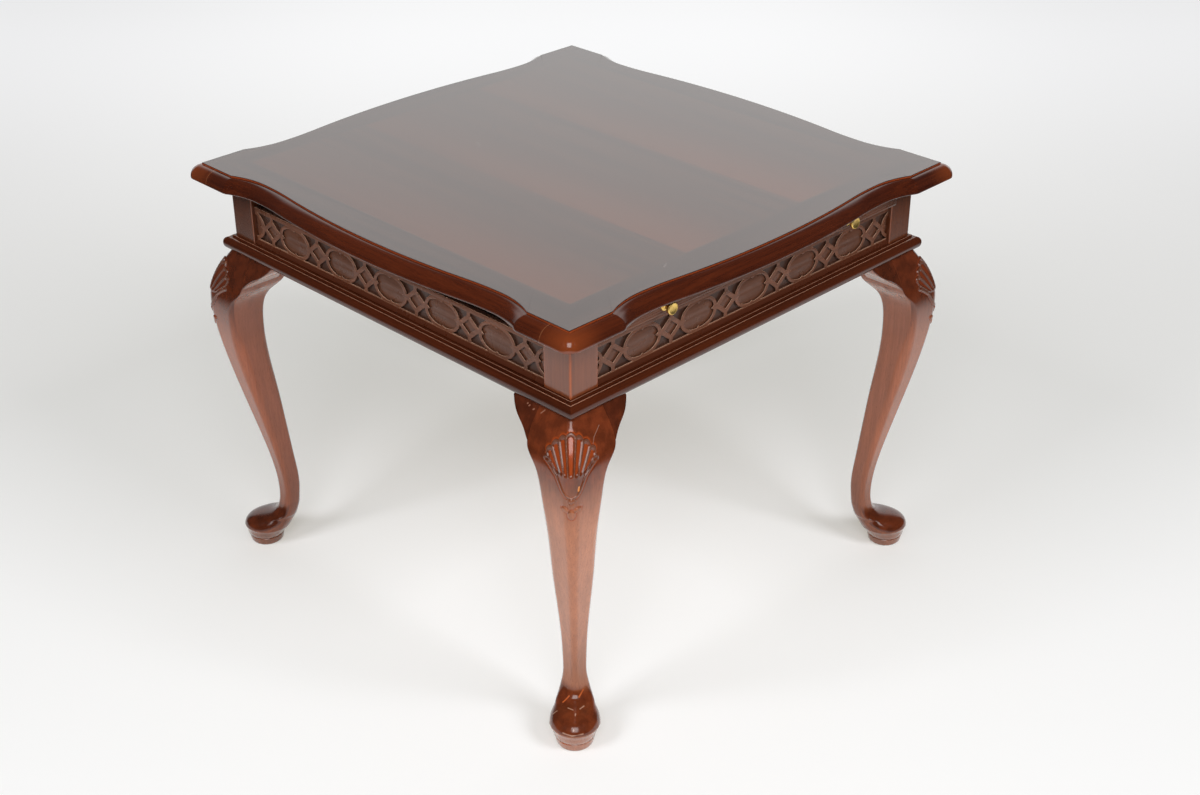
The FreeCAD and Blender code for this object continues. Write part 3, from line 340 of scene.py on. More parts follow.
def fret_layers(g, axis):
    """Painted shade in sunk walls and grounds, painted highlight and wear on arrises, and the foot with its cove, by
    the relief's level.
    """
    level = g.field("relief")
    walls = level.span(-0.16, -0.26) * level.span(-0.71, -0.60)
    rubbed_and_lit = level.span(-0.01, -0.05) * level.span(-0.26, -0.16)
    # painted shade darkens the sunk walls and grounds, the deeper the darker; arrises facing up get a painted
    # highlight, partly wear
    return ((level.span(-0.2, -0.9) * 0.45, darker(FRET_DARK, 0.5)), (walls * 0.8, FRET_WALL_SHADE),
            (level.span(-0.7, -0.95), FRET_GROUND_SHADE), (rubbed_and_lit * g.facing()[2].span(0.1, 0.5, 0.2, 0.85), FRET_WORN_LIT_ARRIS),
            (level.span(0.03, 0.12), COVE_WOOD), (level.span(1.0, 1.12), FOOT_FLOOR_REFLECTION))


def edge_layers(g, axis):
    """Painted light on the corners, the step under the veneer in a red that is partly its wood and partly a painted
    highlight, and the side boards' joints.
    """
    x, y, z = g.axes()
    past = [abs(place) - (limit - CORNER_LIGHT_REACH) * MM for place, limit in ((x, FLAT_X), (y, FLAT_Y))]
    joint = abs(y).span((CORE_Y - 0.8) * MM, (CORE_Y - 0.5) * MM)
    return ((g.calc("MINIMUM", *past).span(0.0, 0.055) * 0.7, CORNER_LIGHT_RED),
            (z.span(*((TOP - depth) * MM for depth in STEP_BAND_DEPTHS)), STEP_WOOD_AND_HIGHLIGHT),
            (joint * (0.45 if axis == 1 else 0.0), JOINT_RED))


def bead_layers(g, axis):
    """Painted highlight lines along the moulding's arrises."""
    return ((g.field("line"), LINE_HIGHLIGHT),)


def leg_wood():
    """A leg's wood, shaded with toner: dark on knee and pad, lighter on post and shank, with painted light per leg."""
    g = new_graph("leg_wood")
    x, y, z = g.axes()
    normal_x, normal_y, normal_z = g.facing()
    tone, relief = g.field("tone"), g.field("relief")
    fibre, streak, broad, pores = grain_fields(g, 2)
    level = z + (broad - 0.5) * 0.03
    shank = level.span(0.405, 0.310) * level.span(0.052, 0.066)
    # tone mixes each colour between a copy with painted shade, for the legs further from the light, and the lit colour
    # of the nearest leg
    pale = g.mix(tone, SHANK_SHADED, SHANK_PALE)
    pale = g.mix(1.0, pale, level.span(0.17, 0.06, 1.0, 0.70), "MULTIPLY")
    knee = g.mix(tone, KNEE_SHADED, KNEE)
    knee = g.mix(1.0, knee, g.noise(60, 3).span(0.3, 0.7, 0.75, 1.3), "MULTIPLY")
    # the toner misses the faces turned to the table's middle and the pad's flanks
    away = g.calc("SIGN", x) * normal_x + g.calc("SIGN", y) * normal_y
    untoned = g.calc("MAXIMUM", away.span(-0.3, -0.7), normal_z.span(-0.35, -0.6))
    flank = normal_z.span(0.22, 0.10) * z.span(0.12, 0.09)
    untoned = g.calc("MAXIMUM", untoned * z.span(0.09, 0.12, 0.0, 0.85), flank * 0.85)
    colour = g.mix(g.calc("MAXIMUM", shank, untoned), knee, pale)
    # the posts' arrises are paler, partly wear and partly a painted highlight, brighter on the nearest leg as painted
    # light
    post = g.mix(g.field("arris"), g.mix(tone, POST_SHADED, POST_WOOD), g.mix(tone, POST_WORN_SHADED_ARRIS, POST_WORN_LIT_ARRIS))
    # below the pad's rim the wood is paler, partly free of toner and partly a painted reflection of the floor
    colour = g.layer(colour, ((z.span(PAD_RIM_TONE, PAD_RIM_TONE - 0.001), g.mix(tone, PAD_SHADED, PAD_SIDE)),
                              (z.span(POST_TONE, POST_TONE + 0.0015), post)))
    grain = fibre * 0.35 + streak * 0.35 + broad * 0.30
    colour = g.mix(1.0, colour, grain.span(0.32, 0.68, 0.80, 1.18), "MULTIPLY")
    colour = g.layer(colour, [
        (pores * 0.30, darker(KNEE, 0.35)),
        (relief.span(0.0, -0.6) * 0.85, g.mix(tone, FLUTE_SHADED, FLUTE)),
        # the shell's ridges are painted greyer, a painted reflection of the bright surroundings
        (relief.span(0.6, 1.15) * z.span(0.366, 0.370, 0.0, 0.7), RIDGE_SHEEN),
        *((g.stroke(start, end, radius), mark) for start, end, radius, mark in LEG_MARKS)])
    return lacquer_coat(g, colour, 0.14)


def plain_wood(name, axis):
    """Unstained secondary wood, planed and sealed, dull; painted black shade where it faces out of the frame into the
    gaps.
    """
    g = new_graph(name)
    fibre, streak, broad, pores = grain_fields(g, axis)
    colour = g.mix((fibre * 0.3 + streak * 0.7).span(0.3, 0.7), PLAIN_DARK, PLAIN_LIGHT)
    colour = g.mix(broad.span(0.35, 0.75, 0.0, 0.35), colour, darker(PLAIN_DARK, 0.7))
    for facing, place, limit in zip(g.facing(), g.axes(), (OUTSIDE_X, OUTSIDE_Y)):
        outside = abs(facing).span(0.6, 0.8) * abs(place).span(limit * MM, (limit + 0.5) * MM)
        colour = g.mix(outside, colour, GAP_SHADE)
    return g.surface(colour, 0.55, g.bump(fibre + pores * -0.4, 0.00015, 0.6))


# linear colours of the finished wood
# the third colour is painted light on the moulding's corners
DEEP, RED, CORNER_LIGHT_RED = (0.034, 0.0052, 0.0017), (0.092, 0.0165, 0.0045), (0.22, 0.045, 0.011)
# the line colour is a painted highlight on the base moulding's arrises
BEAD_DARK, BEAD_LIGHT, LINE_HIGHLIGHT = (0.045, 0.009, 0.003), (0.085, 0.017, 0.005), (0.40, 0.21, 0.14)
# for the frets: the arris colour is partly wear and partly a painted highlight, the ground and wall colours painted
# shade, the foot colour a painted reflection of the floor
FRET_DARK, FRET_LIGHT, FRET_WORN_LIT_ARRIS = (0.115, 0.042, 0.022), (0.21, 0.080, 0.042), (0.60, 0.37, 0.26)
FRET_GROUND_SHADE, COVE_WOOD, FOOT_FLOOR_REFLECTION = (0.065, 0.029, 0.019), (0.075, 0.019, 0.008), (0.24, 0.15, 0.12)
# the step colour is partly the step's wood and partly a painted highlight
STEP_WOOD_AND_HIGHLIGHT, JOINT_RED, FRET_WALL_SHADE = (0.30, 0.055, 0.014), (0.42, 0.17, 0.075), (0.014, 0.007, 0.005)
# in each pair of leg colours below, the first is the second with painted shade, for the legs further from the light
KNEE_SHADED, KNEE = (0.085, 0.0170, 0.0055), (0.135, 0.0270, 0.0080)
POST_SHADED, POST_WOOD = (0.082, 0.023, 0.009), (0.185, 0.050, 0.018)
# the arris colours are partly wear and partly a painted highlight
POST_WORN_SHADED_ARRIS, POST_WORN_LIT_ARRIS = (0.22, 0.060, 0.022), (0.42, 0.10, 0.030)
SHANK_SHADED, SHANK_PALE = (0.34, 0.090, 0.034), (0.50, 0.175, 0.080)
# the pad's side colour is partly a painted reflection of the floor
PAD_SHADED, PAD_SIDE = (0.22, 0.075, 0.038), (0.44, 0.19, 0.12)
# the ridge colour is a painted reflection on the shell's ridges
FLUTE_SHADED, FLUTE, RIDGE_SHEEN = (0.13, 0.026, 0.009), (0.36, 0.058, 0.010), (0.15, 0.065, 0.040)
FIELD_DARK, FIELD_LIGHT, FIELD_WARM = (0.042, 0.016, 0.009), (0.085, 0.033, 0.017), (0.150, 0.040, 0.013)
# the rim colour is a painted dark reflection
BORDER_DARK, BORDER_LIGHT, RIM_DARK_REFLECTION = (0.036, 0.014, 0.008), (0.068, 0.029, 0.017), (0.030, 0.006, 0.003)
SEAM_WOOD, INNER_LINE, PORE = (0.02, 0.008, 0.005), (0.15, 0.08, 0.05), (0.02, 0.008, 0.006)
# the last colour, nearly black, is painted shade where the inner frame faces out into the gap under the top
PLAIN_DARK, PLAIN_LIGHT, GAP_SHADE = (0.30, 0.17, 0.09), (0.47, 0.30, 0.17), (0.012, 0.006, 0.004)

SEAM_LEFT, SEAM_RIGHT = -0.100, 0.1015      # between the leaves, in metres
PAD_RIM_TONE, POST_TONE = 0.0262, 0.449     # heights in metres where a leg's tone changes
CORNER_LIGHT_REACH, STEP_BAND_DEPTHS = 45.0, (2.35, 1.9)      # how far the corners' painted light reaches; depths of the step's bright band, partly a painted highlight

# marks of use: start, end and radius in millimetres, colour and, on the top, strength
CHIP, DENT, SCRATCH = (0.75, 0.26, 0.05), (0.30, 0.13, 0.08), (0.26, 0.13, 0.09)
WORN, SPOT = (0.46, 0.10, 0.025), (0.38, 0.21, 0.14)
LEG_MARKS = (
    ((-325.4, -343.5, 381.6), (-326.3, -343.5, 377.8), 1.5, CHIP),
    ((-278.0, -326.9, 433.1), (-290.4, -331.6, 425.1), 0.6, SCRATCH),
    ((-290.4, -331.6, 425.1), (-294.3, -333.9, 418.9), 0.6, SCRATCH),
    ((-312.0, -277.7, 446.1), (-314.7, -274.1, 441.9), 0.9, DENT),
    ((-313.4, -255.1, 443.9), (-314.0, -254.1, 443.0), 1.1, DENT),
    ((-314.4, -262.7, 442.3), (-314.6, -261.7, 441.5), 1.3, DENT),
    ((-312.8, -251.4, 444.7), (-312.9, -250.9, 444.2), 1.2, DENT),
    ((-320.7, 314.1, 433.4), (-321.2, 313.6, 432.0), 1.6, DENT),
    ((-282.2, -302.1, 56.3), (-290.2, -303.2, 50.9), 1.2, WORN),
    ((-297.8, -293.9, 51.5), (-306.2, -292.1, 46.1), 1.2, WORN),
    ((-308.6, -303.2, 44.8), (-306.8, -309.8, 44.5), 0.9, SPOT),
    ((-299.7, -314.5, 44.6), (-292.9, -314.4, 45.2), 0.9, SPOT),
    ((-323.0, -292.1, 37.6), (-319.4, -295.3, 42.0), 0.9, SPOT),
    ((-309.0, -316.4, 43.5), (-325.1, -329.3, 34.8), 1.1, SPOT),
    ((-333.1, -319.6, 30.8), (-328.4, -330.0, 29.6), 1.1, SPOT),
    ((-328.4, -330.0, 29.6), (-317.7, -337.7, 30.8), 1.1, SPOT),
    ((-330.6, -314.6, 11.3), (-325.6, -324.0, 11.3), 1.6, WORN),
)
SMEAR, LIGHT_MARK, DARK_MARK = (0.012, 0.006, 0.005), (0.20, 0.15, 0.13), (0.015, 0.007, 0.005)
TOP_MARKS = (
    ((13, 158), (18, 164), 3.5, SMEAR, 0.75),
    ((-15, 123), (7, 136), 1.0, DARK_MARK, 0.8),
    ((-44, 122), (-36, 138), 1.6, LIGHT_MARK, 0.5),
    ((57, 133), (63, 139), 5.0, SMEAR, 0.35),
    ((-146, 117), (-145, 118), 1.6, DARK_MARK, 0.8),
    ((-141, 18), (-140, 19), 1.4, DARK_MARK, 0.8),
    ((-125, 12), (-124, 13), 1.4, DARK_MARK, 0.7),
    ((-196, -254), (-188, -250), 1.2, DARK_MARK, 0.8),
    ((-64, -311), (-57, -309), 1.2, DARK_MARK, 0.7),
    ((-144, -296), (-136, -292), 1.4, LIGHT_MARK, 0.5),
)


def top_veneer(name, axis, field=False):
    """The flat of the top: three slip-matched leaves, or one side of the mitred border."""
    g = new_graph(name)
    x, y, z = g.axes()
    vector = None
    if field:
        past_left, past_right = (g.calc("GREATER_THAN", x, seam) for seam in (SEAM_LEFT, SEAM_RIGHT))
        leaf = x + FIELD_X * MM - past_left * (SEAM_LEFT + FIELD_X * MM) - past_right * (SEAM_RIGHT - SEAM_LEFT)
        shift = (past_left + past_right) * 0.013
        vector = g.add("CombineXYZ", leaf, y + shift, shift * 0.3)
    fibre, streak, broad, pores = grain_fields(g, axis, vector)
    tone = (fibre * 0.4 + streak * 0.6).span(0.3, 0.7)
    if field:
        colour = g.mix(tone, FIELD_DARK, FIELD_LIGHT)
        # the leaves' warm figure, made stronger towards the front (-Y) as painted light
        warm_figure_and_light = (leaf + streak * 0.05).span(0.15, 0.03) * y.span(0.28, -0.28, 0.35, 1.0)
        coats = [(warm_figure_and_light * 0.75, FIELD_WARM)]
        coats += [(abs(x - seam).span(0.0007, 0.0003) * 0.45, SEAM_WOOD) for seam in (SEAM_LEFT, SEAM_RIGHT)]
    else:
        colour = g.mix(tone, BORDER_DARK, BORDER_LIGHT)
        inner = g.calc("MAXIMUM", abs(x) - FIELD_X * MM, abs(y) - FIELD_Y * MM)
        # the rim colour is a painted dark reflection on the border's rounded edge; the step colour under it is partly a
        # painted highlight
        coats = [(abs(inner).span(0.0009, 0.0004) * 0.6, INNER_LINE), (g.field("rim"), RIM_DARK_REFLECTION),
                 (z.span((TOP - 0.45) * MM, (TOP - 0.6) * MM), STEP_WOOD_AND_HIGHLIGHT)]
    coats.append((pores * 0.4, PORE))
    coats += [(g.stroke((*start, TOP), (*end, TOP), radius) * strength, mark)
              for start, end, radius, mark, strength in TOP_MARKS]
    normal = g.bump(g.noise(140, 3) + pores * -0.5, 0.00005, 0.5)
    return g.surface(g.layer(colour, coats), 0.24, normal, Coat_Weight=1.0, Coat_Roughness=0.2)


def brass(name):
    g = new_graph(name)
    patch = g.noise(220, 4, 0.6)
    colour = g.mix(patch.span(0.45, 0.75), (0.90, 0.62, 0.18), (0.66, 0.40, 0.11))
    return g.surface(colour, patch.span(0.3, 0.7, 0.24, 0.40), g.bump(g.noise(900), 0.00002, 0.4), Metallic=1.0)


def steel(name):
    g = new_graph(name)
    patch = g.noise(400, 3)
    colour = g.mix(patch, (0.42, 0.42, 0.41), (0.62, 0.61, 0.58))
    return g.surface(colour, patch.span(0.3, 0.7, 0.3, 0.5), None, Metallic=1.0)


def core_board(name):
    """Sealed plywood face of the core's underside."""
    g = new_graph(name)
    fibre, streak, broad, pores = grain_fields(g, 0)
    colour = g.mix(streak.span(0.3, 0.7), (0.30, 0.17, 0.085), (0.44, 0.27, 0.15))
    colour = g.mix(broad.span(0.4, 0.8, 0.0, 0.4), colour, (0.20, 0.10, 0.05))
    return g.surface(colour, 0.6, g.bump(fibre, 0.0002, 0.6))


MATERIALS = {"strip": lacquered_wood("strip_wood", 0, FRET_DARK, FRET_LIGHT, 0.3, 0.4), "leg": leg_wood(),
             "field": top_veneer("field_veneer", 1, field=True), "core": core_board("core_board"),
             "brass": brass("brass"), "steel": steel("zinc_steel")}
for number, way in enumerate(("_x", "_y")):
    MATERIALS["edge" + way] = lacquered_wood("edge_wood" + way, number, DEEP, RED, layers=edge_layers)
    MATERIALS["bead" + way] = lacquered_wood("bead_wood" + way, number, BEAD_DARK, BEAD_LIGHT, coat=0.5,
                                             layers=bead_layers)
    MATERIALS["fret" + way] = lacquered_wood("fret_wood" + way, number, FRET_DARK, FRET_LIGHT, 0.3, 0.4, fret_layers)
    MATERIALS["border" + way] = top_veneer("border_veneer" + way, number)
    MATERIALS["inner" + way] = plain_wood("secondary_wood" + way, number)


# ---- top: moulded edge and border

def outwards(heading):
    """A unit step away from the table where its outline runs at a heading in degrees."""
    return np.array((sin(radians(heading)), -cos(radians(heading))))


def side_path(half_length, flat):
    """Stations along the front side's outline, left to right: points and headings in degrees.

    Corner flat, dip, bow, dip, corner flat, with the kink at each end of the dips turned in small steps.
    """
    kink = half_length - CORNER_FLAT
    valley = kink - VALLEY_RUN
    kink_radius = (VALLEY_RUN ** 2 + VALLEY_DEPTH ** 2) / (2 * VALLEY_DEPTH)
    drop = BOW_RISE + VALLEY_DEPTH
    radii = (valley ** 2 + drop ** 2) / (2 * drop)
    bow_radius = radii * BOW_SHARE
    dip_radius = radii - bow_radius
    kink_angle = degrees(asin(VALLEY_RUN / kink_radius))
    dip_angle = degrees(asin(valley / radii))
    steps = max(2, int(kink_angle / 3))
    path = [((-half_length, -flat), 0.0), ((-kink - 1.5, -flat), 0.0)]
    path += [((-kink, -flat), kink_angle * step / steps) for step in range(steps + 1)]
    for middle, radius, start, end, inside in (
            ((-valley, -flat + VALLEY_DEPTH - kink_radius), kink_radius, kink_angle, 0.0, -1),
            ((-valley, -flat + VALLEY_DEPTH - dip_radius), dip_radius, 0.0, -dip_angle, -1),
            ((0.0, -flat - BOW_RISE + bow_radius), bow_radius, -dip_angle, 0.0, 1)):
        # arcs whose heading goes from start to end; inside is 1 where the middle lies on the table's side
        count = max(2, int(radians(abs(end - start)) * radius / PATH_SPACING))
        path += [(tuple(middle + inside * radius * outwards(heading)), heading)
                 for heading in np.linspace(start, end, count + 1)[1:]]
    return path + [((-x, y), -heading) for (x, y), heading in path[-2::-1]]


def whole_side(number):
    """The outline of a side, turned into its place."""
    half_length, flat = (FLAT_X, FLAT_Y) if number % 2 == 0 else (FLAT_Y, FLAT_X)
    return [(turned(*point, number), heading + 90.0 * number) for point, heading in side_path(half_length, flat)]


def edge_profile():
    """(out, z) of the thumb moulding from the veneer down to the underside."""
    top = TOP - EDGE_STEP
    low = UNDERSIDE + EDGE_ARRIS
    return [(0.0, VENEER_LOW), (0.0, top + 0.35), (0.12, top + 0.1), (0.4, top),
            *arc((0.0, low), (EDGE_REACH, top - low), 82, 0, 15),
            *arc((EDGE_REACH - EDGE_ARRIS, low), (EDGE_ARRIS, EDGE_ARRIS), -12, -90, 7)]


CORNER_TURNS = np.linspace(0, 90, 13)


def build_top_edges():
    profile = edge_profile()
    for number, side in enumerate(SIDES):
        sign = 1 if side in ("right", "back") else -1
        path = whole_side(number)
        if side in ("front", "back"):
            # these boards take in the corners, with the moulding turned round them, as far as the core's corners
            (first, start), (last, end) = path[0], path[-1]
            path = [((first[0], sign * CORE_Y), start - 90.0), *((first, start - turn) for turn in CORNER_TURNS[::-1]),
                    *path[1:-1], *((last, end + turn) for turn in CORNER_TURNS), ((last[0], sign * CORE_Y), end + 90.0)]
        else:
            path = [station for station in path if abs(station[0][1]) < CORE_Y]
            path = [((sign * FLAT_X, -sign * CORE_Y), path[0][1]), *path,
                    ((sign * FLAT_X, sign * CORE_Y), path[-1][1])]
        rings = []
        for (x, y), heading in path:
            out_x, out_y = outwards(heading)
            core = along(side, (x, sign * CORE_Y), (sign * CORE_X, y))
            rings.append([(x + out_x * reach, y + out_y * reach, z) for reach, z in profile]
                         + [(*core, UNDERSIDE), (*core, VENEER_LOW)])
        show("edge_board_" + side, loft(rings), along(side, "edge_x", "edge_y"), "solid_wood", "top_edge_" + side,
             crease=40)


def build_borders():
    for number, side in enumerate(SIDES):
        rings = []
        for (x, y), heading in whole_side(number):
            inner = along(side, (x * FIELD_X / FLAT_X, copysign(FIELD_Y, y)),
                          (copysign(FIELD_X, x), y * FIELD_Y / FLAT_Y))
            out_x, out_y = outwards(heading)
            if abs(x) == FLAT_X and abs(y) == FLAT_Y:
                out_x, out_y = copysign(1, x), copysign(1, y)
            rim = [(x - back * out_x, y - back * out_y, TOP - drop)
                   for back, drop in ((0.7, 0.0), (0.2, 0.12), (0.0, 0.5))]
            rings.append([(*inner, VENEER_LOW), (*inner, TOP), *rim, (x, y, VENEER_LOW)])
        show("border_leaf_" + side, loft(rings), along(side, "border_x", "border_y"), "border_veneer",
             "top_border_" + side, crease=12, rim=np.tile((0, 0, 0, 1, 1, 0), len(rings)))


# ---- legs

CORNER_COUNT, FINE_SHARE = 31, 0.72
RING_SHARES = np.concatenate([np.linspace(0, FINE_SHARE, 62)[1:], np.linspace(FINE_SHARE, 1, 8)[1:-1]])
KNEE_ROWS, CARVED_ROWS = (330.0, 441.0), (334.0, 442.0)      # finely spaced rows, and those with the carving
# the reach of the leg's outer and inner faces past the post's outer corner, below the knee and at the ankle
KNEE_OUT, KNEE_IN, ANKLE_OUT, ANKLE_IN, ANKLE = 32.6, -19.5, -12.8, -36.8, 89.0
KNEE_HEAD_OUT, KNEE_SWELL = 6.0, 27.8
# height and reach of the outer faces from the leg's head down to below the knee
KNEE_PROFILE = np.array([(RAIL_LOW - drop, KNEE_HEAD_OUT + share * KNEE_SWELL) for drop, share in (
    (0.0, 0.0), (6.0, 0.13), (17.5, 0.42), (28.5, 0.63), (44.5, 0.85), (59.5, 0.965), (75.5, 1.0))]
    + [(RAIL_LOW - 98.5, KNEE_OUT)])
PAD_RIM, PAD_ROUNDNESS, DISC_MIDDLE = 27.0, 0.97, 3.0


def leg_ring(outer, inner, outer_arris, side_arris, inner_arris, spread=1.0):
    """A rounded square on the diagonal, as points anticlockwise from the +X face's inner end."""
    o, i, s = outer, inner, side_arris
    corners = [arc((x, y), (radius, radius), start, start + 90, count) for x, y, radius, start, count in (
        (o - outer_arris, o - outer_arris, outer_arris, 0, CORNER_COUNT), (i + s, o - s, s, 90, 6),
        (i + inner_arris, i + inner_arris, inner_arris, 180, 6), (o - s, i + s, s, 270, 6))]
    plain = np.linspace(0, 1, 8)[1:-1]
    parts = []
    for number, shares in enumerate((RING_SHARES, plain, plain, 1 - RING_SHARES[::-1])):
        here, after = corners[number][-1], corners[number - 3][0]
        parts += [corners[number], here + (after - here) * shares[:, None]]
    ring = np.concatenate(parts)
    skew = (1 - spread) / 2 * (ring[:, :1] - ring[:, 1:])
    return ring + np.concatenate([-skew, skew], axis=1)


def round_ring(heel, toe, half_width, roundness=PAD_ROUNDNESS):
    """A ring given by where it meets the diagonal, its half width and how round its corners are."""
    half_length = (toe - heel) / 2
    centre = (toe + heel) / 2 / sqrt(2)
    side = half_length / (sqrt(2) - (sqrt(2) - 1) * roundness)
    arris = side * roundness
    return leg_ring(centre + side, centre - side, arris, arris, arris, half_width / half_length)


def leg_stations():
    """Heights and rings of the cabriole, from the head of the knee down to the pad's rim."""
    inner = (*[-POST - 1.0] * 4, -39.0, -27.5, -22.0, KNEE_IN)
    arris = (6.0, 7.0, 8.5, 10.0, 12.0, 13.0, 14.0, 14.0)
    side = (*[0.8] * 5, 4.0, 7.0, 8.0)
    stations = [(height, leg_ring(outer, i, a, s, min(s + 1.0, 8.0)))
                for (height, outer), i, a, s in zip(KNEE_PROFILE, inner, arris, side)]
    shank_top = stations[-1][0]
    for share, outer_share, inner_share, a in ((0.185, 0.15, 0.10, 12.0), (0.42, 0.415, 0.39, 9.6),
                                               (0.66, 0.705, 0.67, 8.0), (0.85, 0.91, 0.89, 7.0),
                                               (1.0, 1.0, 1.0, 6.6)):
        outer = KNEE_OUT + (ANKLE_OUT - KNEE_OUT) * outer_share
        i = KNEE_IN + (ANKLE_IN - KNEE_IN) * inner_share
        stations.append((shank_top + (ANKLE - shank_top) * share, leg_ring(outer, i, a, a, a - 1.0)))
    heel = sqrt(2) * ANKLE_IN + 2.9
    throat = sqrt(2) * ANKLE_OUT - 2.9
    stations += [(PAD_RIM + lift, round_ring(*ring)) for lift, *ring in (
        (46.0, heel + 0.5, throat + 0.2, 14.6, 0.62), (33.0, heel + 2.0, throat + 2.4, 17.0, 0.72),
        (22.5, heel + 4.8, throat + 8.6, 20.0, 0.85), (17.0, heel + 6.8, throat + 26.0, 23.0, 0.92),
        (13.0, heel + 9.0, 22.0, 25.5, 0.95), (8.0, heel + 12.0, 28.5, 28.6), (3.5, heel + 14.5, 31.3, 30.3),
        (0.0, -32.5, 32.2, 31.0))]
    return [np.array(column) for column in zip(*stations)]


def foot_rows():
    """Rings below the pad's rim: the hollow, the groove and the disc."""
    rows = [(height, round_ring(*ring)) for height, *ring in (
        (26.2, -32.3, 32.0, 30.8), (25.4, -31.7, 31.4, 30.2), (19.0, -26.3, 29.6, 27.3), (13.4, -22.6, 28.6, 25.6))]
    return rows + [(height, round_ring(DISC_MIDDLE - radius, DISC_MIDDLE + radius, radius)) for radius, height in (
        (24.9, 12.7), (23.4, 12.3), (23.2, 11.7), (23.9, 11.2), (24.3, 10.6), (23.5, 6.0), (22.9, 3.0), (22.3, 1.5),
        (21.2, 0.4), (19.8, 0.0))]


def hump(value, middle, width):
    """1 where the value is at the middle, falling off to both sides."""
    return np.exp(-((value - middle) / width) ** 2)


def line_distance(w, height, points):
    """Distance from (w, height) to a line through points."""
    best = np.full(w.shape, np.inf)
    for (x1, y1), (x2, y2) in zip(points, points[1:]):
        run, rise = x2 - x1, y2 - y1
        share = np.clip(((w - x1) * run + (height - y1) * rise) / (run * run + rise * rise), 0, 1)
        best = np.minimum(best, np.hypot(w - x1 - share * run, height - y1 - share * rise))
    return best


# the shell: for each ridge between flutes its foot and its tip, as distance from the middle and height
RIDGES = (((0.0, 391.0), (0.0, 433.8)), ((3.0, 391.0), (5.2, 433.2)), ((7.1, 391.5), (13.0, 427.2)),
          ((10.7, 392.0), (20.9, 419.1)), ((13.7, 392.5), (26.2, 408.2)))
SHELL_RIM = ((26.4, 402.6), (21.0, 396.8), (15.6, 390.5), (12.2, 382.5), (9.4, 376.0), (6.4, 371.6), (3.2, 369.6),
             (0.0, 369.0))
CURL = (26.0, 404.4)
RIDGE_HEIGHT, FLUTE_DEPTH, FLUTE_SHARE = 1.25, 2.1, 0.41
BEAD_HEIGHT = 364.6
LEAF_TOP = 359.5


def shell_relief(w, height):
    """How far the carved shell, bead and leaf stand proud of the knee, or are sunk in it, in millimetres."""
    across = np.abs(w)
    numbers = np.array([0.0, 0.5, 1.5, 2.5, 3.5])
    feet, tips = np.moveaxis(np.array(RIDGES), 1, 0)
    number, beyond = np.zeros_like(across), np.zeros_like(across)
    for row in range(len(across)):
        share = (height[row, 0] - feet[:, 1]) / (tips[:, 1] - feet[:, 1])
        lines = feet[:, 0] + (tips[:, 0] - feet[:, 0]) * np.maximum(share, 0.02)
        number[row] = np.interp(across[row], lines, numbers)
        beyond[row] = across[row] - lines[-1]
    foot_w, foot_h, tip_w, tip_h = (np.interp(number, numbers, places) for places in (*feet.T, *tips.T))
    length = np.hypot(tip_w - foot_w, tip_h - foot_h)
    along_ridge = (height - foot_h) / (tip_h - foot_h) * length
    cross = np.where(number >= 3.5, 0.5, number - np.round(number))
    hollow = np.clip(1 - (cross / FLUTE_SHARE) ** 2, 0, 1) ** 0.6
    bulge = np.where(number < 0.5, 3.2, 2.3)
    inside = length + bulge * (1 - (2 * cross) ** 2) - along_ridge
    proud = RIDGE_HEIGHT * ease(-2.0, 5.0, along_ridge)
    rim_w = np.interp(height, *np.array(SHELL_RIM)[::-1].T[::-1])
    flutes = proud - FLUTE_DEPTH * hollow * ease(0.5, 8.0, along_ridge) * ease(1.3, 4.2, inside)
    gutter = np.where(across < rim_w, -0.3, 0.0)
    flutes = np.where(beyond > 0, proud + (gutter - proud) * ease(0.5, 1.4, beyond), flutes)
    fall = ease(0.0, 0.8, -inside)
    outside = proud * (1 - fall) - 0.5 * fall * (1 - ease(1.0, 4.0, -inside))
    outside = outside * (1 - ease(0.5, 2.5, beyond))
    relief = np.where(along_ridge > -2.0, np.where(inside > 0, flutes, outside), 0.0)
    rim = line_distance(across, height, SHELL_RIM)
    relief = np.where((across > rim_w) & (height < 403.0), -0.5 * hump(rim, 2.4, 0.9), relief)
    relief = np.maximum(relief, RIDGE_HEIGHT * (1 - ease(0.6, 1.6, rim)) - 0.5 * ease(1.6, 2.0, rim))
    eye = np.hypot(across - CURL[0], height - CURL[1])
    curl = RIDGE_HEIGHT * hump(eye, 2.4, 1.0)
    relief = np.where(eye < 4.2, np.maximum(curl, np.where(eye < 2.4, 0.0, relief)), relief)
    drop = np.hypot(w, height - BEAD_HEIGHT)
    bead = 1.7 * np.sqrt(np.clip(1 - (drop / 3.4) ** 2, 0, 1)) - 0.5 * hump(drop, 3.8, 0.7)
    relief = np.where(drop < 5.8, np.maximum(bead, 0.9 * hump(drop, 4.8, 0.7)), relief)
    return np.where(height < LEAF_TOP, leaf_relief(across, height), relief)


def leaf_relief(across, height):
    """A small drop of three lobes under the bead."""
    middle = np.hypot(across / 4.5, (height - 345.7) / 6.5)
    x, y = across - 6.8, height - 352.3
    lobe = np.hypot((x * 0.82 + y * 0.57) / 4.6, (-x * 0.57 + y * 0.82) / 3.2)
    best = np.minimum(middle, lobe)
    notch = 0.7 * hump(middle - lobe, 0, 0.12) * (best < 1.0)
    return 1.2 * (1 - ease(0.7, 1.05, best)) - notch - 0.6 * hump(best, 1.2, 0.14)


